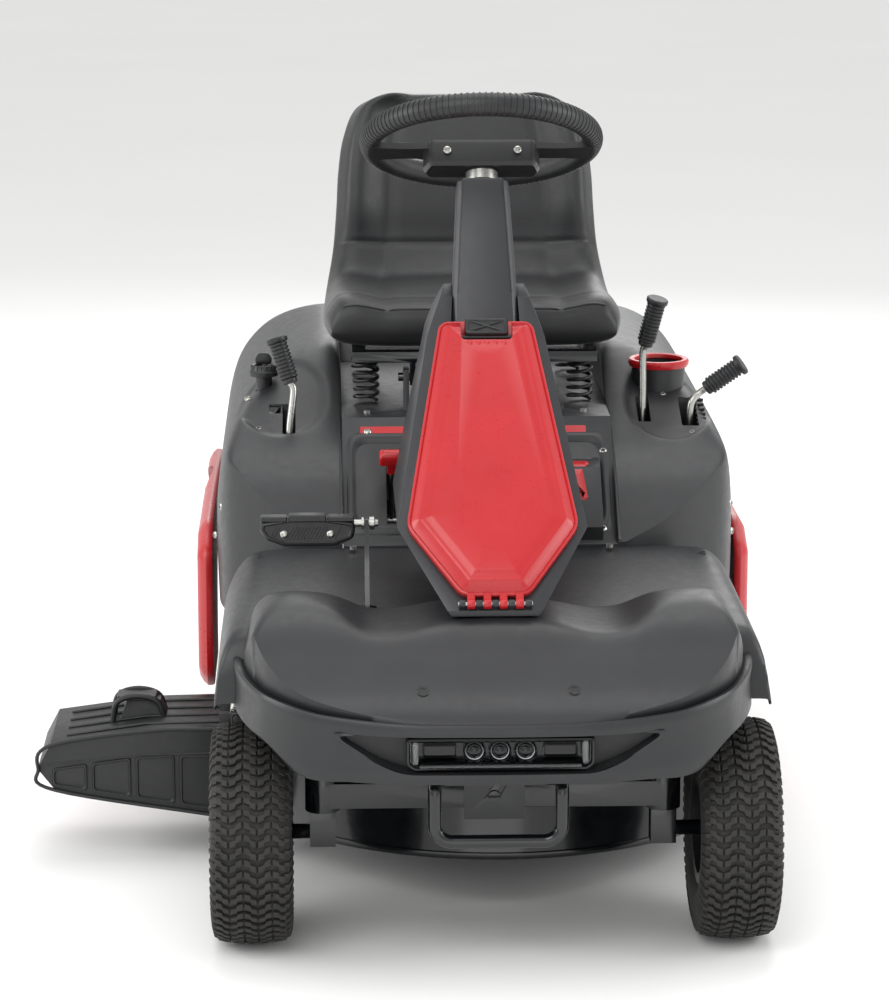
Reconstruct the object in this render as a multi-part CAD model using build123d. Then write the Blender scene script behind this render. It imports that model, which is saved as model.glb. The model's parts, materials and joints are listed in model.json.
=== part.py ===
"""Riding lawn mower with a 26-inch side-discharge deck, as separate named pieces.

Machine frame while modelling, millimetres: +Z up, front towards -Y, the machine's right side
towards -X. The centre plane is X = 0, the ground is Z = 0, and Y = 0 is half way between axles.
At the end every piece takes one shift, so that the row's origin is the bottom centre of its box.
"""
from build123d import *
import math
import os

# Chassis and wheels
wheelbase = 1000
front_axle_y = -wheelbase / 2
rear_axle_y = wheelbase / 2
front_tyre_diameter = 280
front_tyre_width = 102
front_rim_diameter = 127
front_track = 608
rear_tyre_diameter = 381
rear_tyre_width = 152
rear_rim_diameter = 152
rear_track = 560
kingpin_spacing = 430
kingpin_radius = 10
stub_axle_radius = 9.5
running_clearance = 0.08
face_gap = 0.3
rock_gap = 4
rail_spacing = 270
rail_width = 30
rail_bottom = 262
rail_height = 50
sheet = 4
axle_pivot_z = 195
axle_pivot_radius = 8
hitch_hole_radius = 9.5

# Steering
column_tilt = 25.4
wheel_hub_y = -130
wheel_hub_z = 968
steering_wheel_diameter = 325
steering_rim_thickness = 33
column_radius = 10
lower_shaft_length = 118
gear_module = 4
pinion_teeth = 9
sector_teeth = 54
steering_arm = 90
linkage_z = 222

# Bodywork outlines
moulding_wall = 4
cowl_half_width = 312.7
cowl_top_z = 447
cowl_ridge_z = 430
cowl_foot_z = 328
bumper_half_width = 327
cowl_back_y = front_axle_y + 70
bumper_front_y = front_axle_y - 195
bumper_depth = 14
floor_half_width = 352
floor_front_z = 400
floor_back_z = 427
riser_foot_y = -150
riser_top_y = 0
seat_deck_z = 573
seat_deck_half_width = 185
fender_half_width = 366
fender_top_z = 655
body_back_y = rear_axle_y + 195
skirt_bottom_z = 309
side_panel_half_width = 390
side_panel_thickness = 18

# Console, measured along its sloping face
hinge_y = -545
hinge_z = 442
lid_slope = 47.4
lid_length = 413
lid_height = 20
lid_wall = 3
hinge_pin_radius = 3
hinge_lift = 6
tower_depth = 52
tower_foot = -216
tower_head = -58
tower_foot_half = 42
tower_head_half = 33.5
filler_x = 58
filler_run = 120
neck_top_z = 779

# Seat
seat_width = 420
seat_pivot_y = 62
seat_pivot_z = 618
seat_pan_z = 640
cushion_gap = 0.3

# Mower deck
deck_centre_x = 20
deck_centre_y = -20
deck_radius = 350
deck_bottom_z = 58
deck_depth = 92
deck_wall = 3
blade_length = 660
blade_z = 72
spindle_radius = 12
chute_reach = 250
chute_hinge_z = 197
chute_hinge_radius = 5

# Driveline
engine_y = 250
crankshaft_radius = 12.7
crank_pulley_radius = 55
transaxle_input_y = 430
transaxle_pulley_radius = 75
blade_pulley_radius = 60
drive_belt_z = 243
blade_belt_z = 212
belt_thickness = 9

# Controls
panel_front_y = -10
panel_front_z = 530
panel_back_y = 200
panel_back_z = 622
lever_pivot_z = 470
lever_pivot_radius = 6
shift_pivot_y = 30
lift_pivot_y = 72
lever_rod_radius = 5
grip_radius = 13
pedal_x = -156
pedal_pivot_y = -402
pedal_pivot_z = 330
cup_ring_radius = 41
cup_x = 265
cup_y = 150
key_x = -294
key_y = 147
parking_x = -117.5
parking_pivot_y = -15
parking_pivot_z = 430

front_wheel_x = front_track / 2
rear_wheel_x = rear_track / 2
front_axle_z = front_tyre_diameter / 2
rear_axle_z = rear_tyre_diameter / 2
kingpin_x = kingpin_spacing / 2
rail_centre_x = rail_spacing / 2
rail_top = rail_bottom + rail_height
deck_top_z = deck_bottom_z + deck_depth

column_dir = Vector(0, math.sin(math.radians(column_tilt)), math.cos(math.radians(column_tilt)))
column_top = Vector(0, wheel_hub_y, wheel_hub_z)
column_plane = Plane(column_top, x_dir=(1, 0, 0), z_dir=column_dir)
lid_run = Vector(0, math.cos(math.radians(lid_slope)), math.sin(math.radians(lid_slope)))
lid_normal = Vector(0, -lid_run.Z, lid_run.Y)
lid_plane = Plane((0, hinge_y, hinge_z), x_dir=(1, 0, 0), z_dir=lid_normal)

pinion_radius = gear_module * pinion_teeth / 2
sector_radius = gear_module * sector_teeth / 2
joint_z = linkage_z + lower_shaft_length
joint_y = wheel_hub_y - (wheel_hub_z - joint_z) * math.tan(math.radians(column_tilt))
column_length = (wheel_hub_z - joint_z) / math.cos(math.radians(column_tilt))
sector_pivot_y = joint_y + sector_radius - pinion_radius
panel_slope = math.atan2(panel_back_z - panel_front_z, panel_back_y - panel_front_y)


def from_side(points, x0, x1):
    """A (y, z) outline swept across the machine from x0 to x1."""
    outline = make_face(Polyline(*points, close=True))
    return extrude(Plane((x0, 0, 0), x_dir=(0, 1, 0), z_dir=(1, 0, 0)) * outline, amount=x1 - x0)


def from_front(points, y0, y1):
    """An (x, z) outline swept backwards from y0 to y1."""
    outline = make_face(Polyline(*points, close=True))
    return extrude(Plane((0, y1, 0), x_dir=(1, 0, 0), z_dir=(0, -1, 0)) * outline, amount=y1 - y0)


def from_above(points, z0, z1):
    """An (x, y) outline raised from z0 to z1."""
    return extrude(Pos(0, 0, z0) * make_face(Polyline(*points, close=True)), amount=z1 - z0)


def block(x0, x1, y0, y1, z0, z1):
    return Pos((x0 + x1) / 2, (y0 + y1) / 2, (z0 + z1) / 2) * Box(x1 - x0, y1 - y0, z1 - z0)


def rod(start, end, radius):
    """A round bar between two points."""
    axis = Vector(*end) - Vector(*start)
    plane = Plane(Vector(*start), z_dir=axis.normalized())
    return extrude(plane * Circle(radius), amount=axis.length)


def flip(shape):
    """The same piece on the other side of the machine."""
    return mirror(shape, about=Plane.YZ)


def both_sides(points):
    """An outline given for x >= 0, from the centre outwards, made whole."""
    other = [(-x, z) for x, z in reversed(points) if x > 0]
    return [*points, *other]


def panel_z(y):
    """Height of the sloping control panels above the ground."""
    return panel_front_z + (y - panel_front_y) * math.tan(panel_slope)


# Chassis

def front_axle_beam():
    """Rocking beam with a pivot bore in the middle and a kingpin bore at each end."""
    beam = block(-kingpin_x, kingpin_x, front_axle_y - 20, front_axle_y + 20,
                 axle_pivot_z - 20, axle_pivot_z + 12)
    for side in (-1, 1):
        boss = Pos(side * kingpin_x, front_axle_y, axle_pivot_z - 4) * Cylinder(22, 44)
        bore = Pos(side * kingpin_x, front_axle_y, axle_pivot_z - 4)
        beam += boss
        beam -= bore * Cylinder(kingpin_radius + running_clearance, 60)
    pivot = Pos(0, front_axle_y, axle_pivot_z) * Rot(90, 0, 0)
    beam += pivot * Cylinder(26, 60)
    beam -= pivot * Cylinder(axle_pivot_radius + running_clearance, 80)
    return beam


def rail(side):
    """C-section side rail, open towards the centre."""
    outer = side * (rail_centre_x + rail_width / 2)
    inner = side * (rail_centre_x - rail_width / 2)
    low, high = sorted((outer, inner))
    channel = block(low, high, front_axle_y - 100, rear_axle_y + 150, rail_bottom, rail_top)
    hollow_low, hollow_high = sorted((outer - side * sheet, inner - side * sheet))
    channel -= block(hollow_low, hollow_high, front_axle_y - 90, rear_axle_y + 140,
                     rail_bottom + sheet, rail_top - sheet)
    return channel


def floor_z(y):
    """Height of the foot floor's upper face."""
    rise = (floor_back_z - floor_front_z) / (riser_foot_y - cowl_back_y)
    return floor_front_z + (y - cowl_back_y) * rise


def floor_bracket(y):
    """Two posts on the rails with a cross bar on each that carries the foot floor."""
    outer = rail_centre_x + rail_width / 2
    seat = floor_z(y) - moulding_wall - face_gap
    posts = block(-outer, outer, y, y + 16, rail_top, seat - 20)
    bar = block(-300, 300, y, y + 16, seat - 30, seat)
    return posts + bar - block(-outer + 40, outer - 40, y - 1, y + 17, rail_top - 1, seat + 1)


def main_frame():
    """Welded frame: rails, cross plates, axle hanger, engine plate, uprights and hitch tongue."""
    outer = rail_centre_x + rail_width / 2
    front_y = front_axle_y - 100
    plate_low = rail_bottom - 6
    frame = rail(1) + rail(-1)
    frame += block(-outer, outer, front_y - 6, front_y, rail_bottom - 32, rail_top)
    frame += block(-outer, outer, front_axle_y - 60, front_axle_y + 60, plate_low, rail_bottom)
    for y in (front_axle_y - 37, front_axle_y + 31):
        frame += block(-38, 38, y, y + 6, axle_pivot_z - 30, rail_bottom)
    frame += rod((0, front_axle_y - 42, axle_pivot_z), (0, front_axle_y + 42, axle_pivot_z),
                 axle_pivot_radius)
    frame += block(-outer, outer, joint_y - 16, sector_pivot_y + 40, plate_low, rail_bottom)
    frame -= Pos(0, joint_y, rail_bottom) * Cylinder(column_radius + running_clearance, 60)
    frame -= Pos(0, sector_pivot_y, rail_bottom) * Cylinder(
        axle_pivot_radius + running_clearance, 60)
    frame += block(-outer, outer, engine_y - 120, engine_y + 120, rail_top, rail_top + 6)
    frame -= Pos(0, engine_y, rail_top) * Cylinder(40, 30)
    frame += floor_bracket(riser_foot_y - 200) + floor_bracket(riser_foot_y - 30)
    for y in (riser_top_y + 40, engine_y + 150):
        for side in (-1, 1):
            x0, x1 = sorted((side * (outer - 25), side * outer))
            frame += block(x0, x1, y, y + 25, rail_top, seat_deck_z - moulding_wall - face_gap)
    back = rear_axle_y + 150
    frame += block(-outer, outer, back, back + 6, plate_low, rail_top)
    frame += block(-outer, outer, rear_axle_y + 60, back + 6, plate_low, rail_bottom)
    frame += block(-60, 60, rear_axle_y + 60, body_back_y, plate_low - 6, plate_low)
    frame -= Pos(0, body_back_y - 25, plate_low) * Cylinder(hitch_hole_radius, 60)
    plate_x = pedal_x + 10
    frame += block(plate_x, plate_x + 5, pedal_pivot_y - 15, pedal_pivot_y + 15,
                   rail_top - 10, pedal_pivot_z + 15)
    frame += rod((plate_x, pedal_pivot_y, pedal_pivot_z),
                 (pedal_x - 14, pedal_pivot_y, pedal_pivot_z), 6)
    frame += block(parking_x - 22, parking_x - 18, parking_pivot_y - 14, riser_top_y + 45,
                   parking_pivot_z - 14, parking_pivot_z + 14)
    frame += rod((parking_x - 20, parking_pivot_y, parking_pivot_z),
                 (parking_x + 12, parking_pivot_y, parking_pivot_z), 5)
    return frame


def spindle(side, with_drag_arm):
    """Kingpin, stub axle and steering arm of one front wheel."""
    stub_end = side * (front_wheel_x + 50)
    foot_top = axle_pivot_z - 26 - face_gap
    king = rod((side * kingpin_x, front_axle_y, foot_top - 5),
               (side * kingpin_x, front_axle_y, linkage_z + 6), kingpin_radius)
    foot = block(side * kingpin_x - 16, side * kingpin_x + 16, front_axle_y - 16,
                 front_axle_y + 16, front_axle_z - 16, foot_top)
    stub = rod((side * kingpin_x, front_axle_y, front_axle_z),
               (stub_end, front_axle_y, front_axle_z), stub_axle_radius)
    x = side * kingpin_x
    arm = block(x - 12, x + 12, front_axle_y, front_axle_y + steering_arm + 12, foot_top - 10,
                foot_top)
    pin = rod((x, front_axle_y + steering_arm, foot_top),
              (x, front_axle_y + steering_arm, foot_top + 22), 5)
    whole = king + foot + stub + arm + pin
    if with_drag_arm:
        top = block(x - 12, x + 12, front_axle_y - 14, front_axle_y + steering_arm + 12,
                    linkage_z - 4, linkage_z + 4)
        drag_pin = rod((x, front_axle_y + steering_arm, linkage_z),
                       (x, front_axle_y + steering_arm, linkage_z + 24), 5)
        whole += top + drag_pin
    else:
        whole += Pos(x, front_axle_y, linkage_z) * Cylinder(16, 8)
    return whole


def link_bar(start, end, z, end_hole):
    """Flat-ended steering link lying level between two pins."""
    a = Vector(start[0], start[1], z)
    b = Vector(end[0], end[1], z)
    bar = rod(a, b, 5)
    bar += Pos(a) * Cylinder(12, 12)
    bar += Pos(b) * Cylinder(end_hole + 5, 12)
    bar -= Pos(a) * Cylinder(5 + running_clearance, 30)
    bar -= Pos(b) * Cylinder(end_hole, 30)
    return bar


def drag_link():
    """Steering link from the sector's arm to the left spindle, with a free eye at the sector."""
    return link_bar((kingpin_x, front_axle_y + steering_arm), (0, sector_pivot_y + steering_arm),
                    linkage_z + 5 + rock_gap + 6, 9)


def tie_rod():
    """Track rod between the two spindle arms."""
    y = front_axle_y + steering_arm
    return link_bar((kingpin_x, y), (-kingpin_x, y), axle_pivot_z - 26 + 6, 5.6)


def wedge(radius, half_angle, z0, z1):
    """A pie slice about -Y, wider than the gear it trims."""
    reach = 2 * radius
    spread = math.radians(half_angle)
    return from_above([(0, 0), (-reach * math.sin(spread), -reach * math.cos(spread)),
                       (reach * math.sin(spread), -reach * math.cos(spread))], z0, z1)


def steering_sector():
    """Quadrant with teeth inside its rim, its pivot pin and its output arm."""
    root = sector_radius + 1.25 * gear_module
    tip = sector_radius - gear_module
    quadrant = Cylinder(root + 9, 10) & wedge(root, 58, -6, 6)
    window = Cylinder(root, 12) - Cylinder(sector_radius - 2 * pinion_radius - 12, 12)
    quadrant -= window & wedge(root, 47, -7, 7)
    pitch_angle = 360 / sector_teeth
    for index in range(-6, 7):
        quadrant += Rot(0, 0, -90 + index * pitch_angle) * tooth(root, tip, 10)
    quadrant += Cylinder(24, 10)
    quadrant += block(-14, 14, 0, steering_arm + 14, -5, 5)
    quadrant += Pos(0, 0, 16) * Cylinder(axle_pivot_radius, 56)
    quadrant += Pos(0, steering_arm, 15) * Cylinder(5, 22)
    return Pos(0, sector_pivot_y, linkage_z) * quadrant


def tooth(root, tip, thickness):
    """One straight-sided gear tooth on the +X axis, sunk a little into its root circle."""
    half_root = math.pi * gear_module * 0.27
    half_tip = math.pi * gear_module * 0.1
    sink = math.copysign(1.5, root - tip)
    outline = make_face(Polyline((root + sink, -half_root), (tip, -half_tip), (tip, half_tip),
                                 (root + sink, half_root), close=True))
    return extrude(Pos(0, 0, -thickness / 2) * outline, amount=thickness)


def lower_shaft():
    """Upright shaft with the pinion and the lower fork of the universal joint."""
    root = pinion_radius - 1.25 * gear_module
    tip = pinion_radius + gear_module
    pinion = Cylinder(root, 14)
    for index in range(pinion_teeth):
        angle = -90 + (index + 0.5) * 360 / pinion_teeth
        pinion += Rot(0, 0, angle) * tooth(root, tip, 14)
    shaft = Pos(0, joint_y, linkage_z) * pinion
    fork_foot = joint_z - 24
    shaft += rod((0, joint_y, linkage_z), (0, joint_y, fork_foot), column_radius)
    shaft += rod((0, joint_y, fork_foot - 8), (0, joint_y, fork_foot), 18)
    for side in (-1, 1):
        y = joint_y + side * 15
        shaft += block(-5, 5, y - 3, y + 3, fork_foot - 2, joint_z + 4)
        shaft += rod((0, joint_y, joint_z), (0, y, joint_z), 3)
    shaft += Pos(0, joint_y, joint_z) * Sphere(8)
    return shaft


def steering_shaft():
    """Tilted column shaft with the upper fork and the collar under the wheel."""
    foot = -column_length + 24
    shaft = Pos(0, 0, (foot - 4) / 2) * Cylinder(column_radius, -4 - foot)
    shaft += Pos(0, 0, foot + 4) * Cylinder(18, 8)
    for side in (-1, 1):
        shaft += Pos(side * 15, 0, foot - 14) * Box(6, 10, 32)
        shaft += Pos(side * 11, 0, -column_length) * Rot(0, 90, 0) * Cylinder(3, 4)
    shaft += Pos(0, 0, -50) * Cylinder(21, 12)
    return column_plane * shaft


def steering_wheel():
    """Rim, two side spokes and box hub, in one moulding."""
    rim_radius = (steering_wheel_diameter - steering_rim_thickness) / 2
    wheel = Torus(rim_radius, steering_rim_thickness / 2)
    hub = Pos(0, 0, -22) * Box(154, 70, 40)
    hub -= Pos(0, 0, -24) * Cylinder(column_radius + 0.5, 44)
    for side in (-1, 1):
        spoke = Pos(side * 106, 0, -12) * Box(72, 44, 16)
        hub += spoke
    return column_plane * (wheel + hub)


# Wheels

def turned(points, x, y, z):
    """An (axial, radius) outline turned about a cross-wise axis through a point."""
    ring = revolve(make_face(Polyline(*points, close=True)), axis=Axis.X)
    return Pos(x, y, z) * ring


def rim(diameter, width, bore, disc_offset):
    """Pressed wheel: barrel with two flanges, a dished disc and a hub tube."""
    seat = diameter / 2
    half = width * 0.4
    flange = 8
    return [
        (-half - 4, seat - 5), (-half - 4, seat + flange), (-half, seat + flange), (-half, seat),
        (half, seat), (half, seat + flange), (half + 4, seat + flange), (half + 4, seat - 5),
        (disc_offset + 4, seat - 5), (disc_offset + 4, 24), (half - 6, 24), (half - 6, bore),
        (-half + 6, bore), (-half + 6, 24), (disc_offset - 4, 24), (disc_offset - 4, seat - 5)]


def tyre(diameter, width, rim_diameter):
    """Hollow tyre body with two beads."""
    tread = diameter / 2
    bead = rim_diameter / 2 + face_gap
    foot = width * 0.4 - face_gap
    half = width / 2
    carcass = 9
    return [
        (-foot, bead), (-foot, bead + 9), (-half, bead + 26), (-half, tread - 24),
        (-half + 7, tread - 7), (-half * 0.6, tread), (half * 0.6, tread), (half - 7, tread - 7),
        (half, tread - 24), (half, bead + 26), (foot, bead + 9), (foot, bead),
        (foot - carcass, bead), (foot - carcass, bead + 12), (half - carcass, bead + 30),
        (half - carcass, tread - 28), (half * 0.6 - 4, tread - carcass - 4),
        (-half * 0.6 + 4, tread - carcass - 4), (-half + carcass, tread - 28),
        (-half + carcass, bead + 30), (-foot + carcass, bead + 12), (-foot + carcass, bead)]


def front_wheel(side):
    """Tyre and rim of one front wheel."""
    place = (side * front_wheel_x, front_axle_y, front_axle_z)
    bore = stub_axle_radius + running_clearance
    rubber = turned(tyre(front_tyre_diameter, front_tyre_width, front_rim_diameter), *place)
    steel = turned(rim(front_rim_diameter, front_tyre_width, bore, side * 10), *place)
    return rubber, steel


def rear_wheel(side):
    """Tyre of one rear wheel, and its rim with the axle shaft fixed in it."""
    place = (side * rear_wheel_x, rear_axle_y, rear_axle_z)
    rubber = turned(tyre(rear_tyre_diameter, rear_tyre_width, rear_rim_diameter), *place)
    steel = turned(rim(rear_rim_diameter, rear_tyre_width, stub_axle_radius - 1, side * 20), *place)
    steel += rod((side * 40, rear_axle_y, rear_axle_z),
                 (side * (rear_wheel_x + 58), rear_axle_y, rear_axle_z), stub_axle_radius)
    return rubber, steel


# Bodywork

def hollow(side_points, front_points, x0, x1, y0, y1, mouth_depth=1000):
    """Moulding that fills a side view and a front view, hollowed from below to one wall."""
    side_face = make_face(Polyline(*side_points, close=True))
    front_face = make_face(Polyline(*front_points, close=True))
    side_plane = Plane((x0, 0, 0), x_dir=(0, 1, 0), z_dir=(1, 0, 0))
    front_plane = Plane((0, y1, 0), x_dir=(1, 0, 0), z_dir=(0, -1, 0))
    outer = extrude(side_plane * side_face, amount=x1 - x0)
    outer &= extrude(front_plane * front_face, amount=y1 - y0)
    inner_side = offset(side_face, amount=-moulding_wall, kind=Kind.INTERSECTION)
    inner_front = offset(front_face, amount=-moulding_wall, kind=Kind.INTERSECTION)
    cavity = extrude(side_plane * inner_side, amount=x1 - x0)
    cavity &= extrude(front_plane * inner_front, amount=y1 - y0)
    foot = outer.bounding_box().min.Z
    mouth = cavity & block(x0, x1, y0, y1, foot, foot + mouth_depth)
    return outer - cavity - Pos(0, 0, -2 * moulding_wall) * mouth


def cowl_front_outline():
    """Front view of the cowl: a bulge over each wheel and a low ridge in the middle."""
    edge = cowl_half_width
    return both_sides([
        (0, cowl_ridge_z), (70, cowl_ridge_z - 5), (145, cowl_ridge_z - 21),
        (205, cowl_top_z - 5), (250, cowl_top_z), (286, cowl_top_z - 12),
        (edge, cowl_top_z - 70), (edge, cowl_foot_z), (0, cowl_foot_z)])


def front_cowl():
    """Nose moulding over the front wheels, open underneath and behind."""
    nose = bumper_front_y + bumper_depth + face_gap
    side_points = [
        (nose, cowl_foot_z), (nose, cowl_foot_z + 8), (-640, 357), (-560, cowl_ridge_z + 2),
        (-515, cowl_top_z), (-465, cowl_top_z), (cowl_back_y, floor_front_z + 4),
        (cowl_back_y, cowl_foot_z)]
    shell = hollow(side_points, cowl_front_outline(), -400, 400, -800, -300)
    edge = [*bumper_outline(bumper_depth + face_gap), (cowl_half_width, cowl_back_y)]
    other = [(-x, y) for x, y in reversed(edge) if x > 0]
    shell &= from_above([*edge, *other], 200, 500)
    strip = [*bumper_outline(bumper_depth + face_gap),
             *reversed(bumper_outline(bumper_depth + face_gap + moulding_wall))]
    wall = from_above(strip, 200, 500)
    wall &= from_side(side_points, 0, 400)
    wall &= from_front(cowl_front_outline(), -800, -300)
    shell += wall
    shell += flip(wall)
    shell -= block(-cowl_half_width + 8, cowl_half_width - 8, cowl_back_y - 6, cowl_back_y + 1,
                   cowl_foot_z - 1, floor_front_z - moulding_wall)
    for side in (-1, 1):
        shell -= Pos(side * 92, -640, 350) * Cylinder(5, 60)
    return shell


def bumper_outline(inset):
    """Plan view of the bumper's front face, from the middle outwards."""
    return [(0, bumper_front_y + inset), (115, bumper_front_y + 4 + inset),
            (242 - inset * 0.4, bumper_front_y + 40 + inset),
            (304 - inset * 0.8, bumper_front_y + 120 + inset * 0.8),
            (bumper_half_width - inset, -480)]


def front_bumper():
    """Band round the nose that sweeps up to a tip at each side, with the lamp recess."""
    outside = bumper_outline(0)
    inside = bumper_outline(bumper_depth)
    band = from_above([*outside, *reversed(inside)], 240, 380)
    height = from_front([(0, 257), (242, 257), (286, 291), (330, 303), (330, 372), (300, 352),
                         (215, 338), (0, 334)], -720, -400)
    half = band & height
    whole = half + flip(half)
    recess = from_front([(-200, 318), (200, 318), (115, 271), (-115, 271)], -720, -600)
    return whole - recess


def headlight():
    """Lamp housing with three round lamps, and the clear lens in front of it."""
    inset = bumper_depth + face_gap
    grille = from_above([*bumper_outline(inset), *reversed(bumper_outline(inset + 5))], 266, 322)
    grille &= block(0, 206, -720, -560, 266, 322)
    body = grille + flip(grille)
    front = bumper_front_y + 7
    panel = [(-113, 316), (113, 316), (108, 275), (-108, 275)]
    pocket = [(-109, 312), (109, 312), (104, 279), (-104, 279)]
    glass = [(-108, 311), (108, 311), (103, 280), (-103, 280)]
    body += from_front(panel, front, front + 34)
    body -= from_front(pocket, front - 1, front + 24)
    for x in (-50, 0, 50):
        body += Pos(x, front + 18, 295) * Rot(90, 0, 0) * Cylinder(12, 14)
    body += block(-40, 40, front + 30, front_axle_y - 106 - face_gap, 280, 300)
    lens = from_front(glass, front + 2, front + 5)
    return body, lens


def floor_pan():
    """Foot floor with a raised edge at each side and slots for the pedal and the column."""
    back = riser_foot_y - face_gap
    front = cowl_back_y + face_gap
    half = floor_half_width
    top = [(front, floor_front_z), (back, floor_z(back))]
    deck = from_side([*top, (back, floor_z(back) - moulding_wall),
                      (front, floor_front_z - moulding_wall)], -half, half)
    taper = [(-cowl_half_width, front), (cowl_half_width, front), (half, -340), (half, back),
             (-half, back), (-half, -340)]
    deck &= from_above(taper, 200, 500)
    skirt = from_above([(cowl_half_width, front), (half, -340), (half, back),
                        (half - moulding_wall, back), (half - moulding_wall, -339),
                        (cowl_half_width - moulding_wall, front)], 200, 500)
    skirt &= from_side([(front, cowl_foot_z), *top, (back, skirt_bottom_z)], 0, 400)
    deck += skirt
    deck += flip(skirt)
    for y in (-300, -265, -230, -195):
        for side in (-1, 1):
            z = floor_z(y)
            deck += block(side * 240 - 70, side * 240 + 70, y - 3, y + 3, z - 2, z + 3)
    deck -= block(pedal_x - 9, pedal_x + 9, front + 4, pedal_pivot_y + 32, 380, 440)
    deck -= block(-32, 32, front - 1, -350, 380, 440)
    return deck


def seat_riser():
    """Sloping wall behind the feet with the flat deck that the seat and springs stand on."""
    half = seat_deck_half_width
    back = engine_y + 180
    under = seat_deck_z - moulding_wall
    wall = from_side([(riser_foot_y, floor_back_z), (riser_top_y, seat_deck_z),
                      (back, seat_deck_z), (back, under), (riser_top_y + 2, under),
                      (riser_foot_y + 1, floor_back_z - 6), (riser_foot_y, floor_back_z - 6)],
                     -half, half)
    wall -= block(parking_x - 8, parking_x + 8, riser_foot_y + 12, riser_foot_y + 92, 380, 560)
    wall += from_side([(riser_foot_y + 6, floor_back_z), (riser_foot_y - 4, floor_back_z + 24),
                       (riser_foot_y + 66, seat_deck_z - 54),
                       (riser_foot_y + 100, seat_deck_z - 48)], 108, 165)
    for x in (-95, 95):
        wall += block(x - 4, x + 4, seat_pivot_y - 14, seat_pivot_y + 14, seat_deck_z - 1,
                      seat_pivot_z + 12)
    wall -= rod((-110, seat_pivot_y, seat_pivot_z), (110, seat_pivot_y, seat_pivot_z),
                6 + running_clearance)
    return wall


def fender_outlines():
    """Side view and front view of the left rear fender."""
    side_points = [
        (riser_foot_y, skirt_bottom_z), (riser_foot_y, floor_back_z),
        (panel_front_y, panel_front_z), (panel_back_y, panel_back_z), (310, fender_top_z),
        (560, fender_top_z - 10), (660, fender_top_z - 50), (body_back_y, 430),
        (body_back_y, skirt_bottom_z)]
    inner = seat_deck_half_width + face_gap
    front_points = [
        (inner, skirt_bottom_z), (inner, fender_top_z + 10), (228, fender_top_z + 2),
        (282, fender_top_z - 8), (339, 592), (361, 522), (fender_half_width, 447),
        (361, skirt_bottom_z)]
    return side_points, front_points


def fender(side):
    """Rear body side with a control panel on its front slope and an arch for the wheel."""
    side_points, front_points = fender_outlines()
    shell = hollow(side_points, front_points, 0, 500, -300, 800)
    inner = seat_deck_half_width + face_gap
    corner = floor_half_width + 3
    shell &= from_above([(inner, riser_foot_y), (corner, -8), (fender_half_width, 60),
                         (fender_half_width, 640), (340, body_back_y), (inner, body_back_y)],
                        200, 700)
    arch = Pos(rear_wheel_x + 20, rear_axle_y, rear_axle_z) * Rot(0, 90, 0)
    shell -= arch * Cylinder(rear_tyre_diameter / 2 + 22, 220)
    front_wall = from_above([(inner, riser_foot_y), (corner, -8), (fender_half_width, 60),
                             (fender_half_width - moulding_wall, 60), (corner - moulding_wall, -6),
                             (inner, riser_foot_y + 6)], 200, 700)
    front_wall &= from_side(side_points, 0, 500)
    front_wall &= from_front(front_points, -300, 800)
    shell = largest(shell + front_wall)
    if side < 0:
        shell = flip(shell)
        shell -= slot_block(-258, 21, 92, 9)
        shell -= Pos(key_x, key_y, panel_z(key_y)) * Cylinder(11, 60)
    else:
        shell -= slot_block(238, 46, 100, 8)
        shell -= slot_block(300, 34, 100, 10)
        shell -= Pos(cup_x, cup_y, panel_z(cup_y)) * Cylinder(cup_ring_radius - 5, 160)
    return shell


def largest(shape):
    """The biggest solid of a cut shape."""
    return Part() + max(shape.solids(), key=lambda solid: solid.volume)


def slot_block(x, y0, y1, half):
    """Cutter for a lever's slot in a control panel."""
    return block(x - half, x + half, y0, y1, panel_front_z - 40, panel_back_z + 20)


def side_panels():
    """Coloured panel outside each rear fender, cut round the wheel, hollow on the inside."""
    inner = fender_half_width + face_gap
    arch = Pos(0, rear_axle_y, rear_axle_z) * Rot(0, 90, 0)
    outline = make_face(Polyline((62, 190), (95, 163), (300, 163), (300, 300), (640, 300),
                                 (672, 400), (640, 432), (150, 432), (78, 400), close=True))
    face = Plane((inner, 0, 0), x_dir=(0, 1, 0), z_dir=(1, 0, 0))
    panel = extrude(face * outline, amount=side_panel_half_width - inner)
    panel -= arch * Cylinder(rear_tyre_diameter / 2 + 20, 900)
    recess = extrude(face * offset(outline, amount=-5, kind=Kind.INTERSECTION),
                     amount=side_panel_half_width - inner - 4)
    recess -= arch * Cylinder(rear_tyre_diameter / 2 + 25, 900)
    panel -= recess
    return [panel, flip(panel)]


def rear_cover():
    """Rear deck and back wall behind the seat, with cooling slots."""
    half = seat_deck_half_width
    front = engine_y + 180 + face_gap
    wall = from_side([(front, seat_deck_z), (front + 60, seat_deck_z + 40), (640, 606),
                      (body_back_y - 3, 560), (body_back_y - 3, 300),
                      (body_back_y - 3 - moulding_wall, 300), (body_back_y - 7, 558),
                      (637, 602), (front + 62, seat_deck_z + 36), (front, seat_deck_z - 4)],
                     -half, half)
    for z in (360, 390, 420, 450, 480):
        wall -= block(-120, 120, 600, 720, z, z + 12)
    return wall


def console_front_outline():
    """Front view of the console, from its foot up to the neck."""
    low = floor_front_z - 10
    return both_sides([(0, low), (53, low), (54, 430), (119, 524), (76, 733), (58, neck_top_z),
                       (52, neck_top_z + 12), (0, neck_top_z + 12)])


def lid_outline(inset):
    """The lid's six-sided outline in its own plane."""
    return both_sides([(0, 8 + inset), (41 - inset * 0.6, 8 + inset), (108 - inset, 109),
                       (60 - inset, lid_length - inset), (0, lid_length - inset)])


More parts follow.
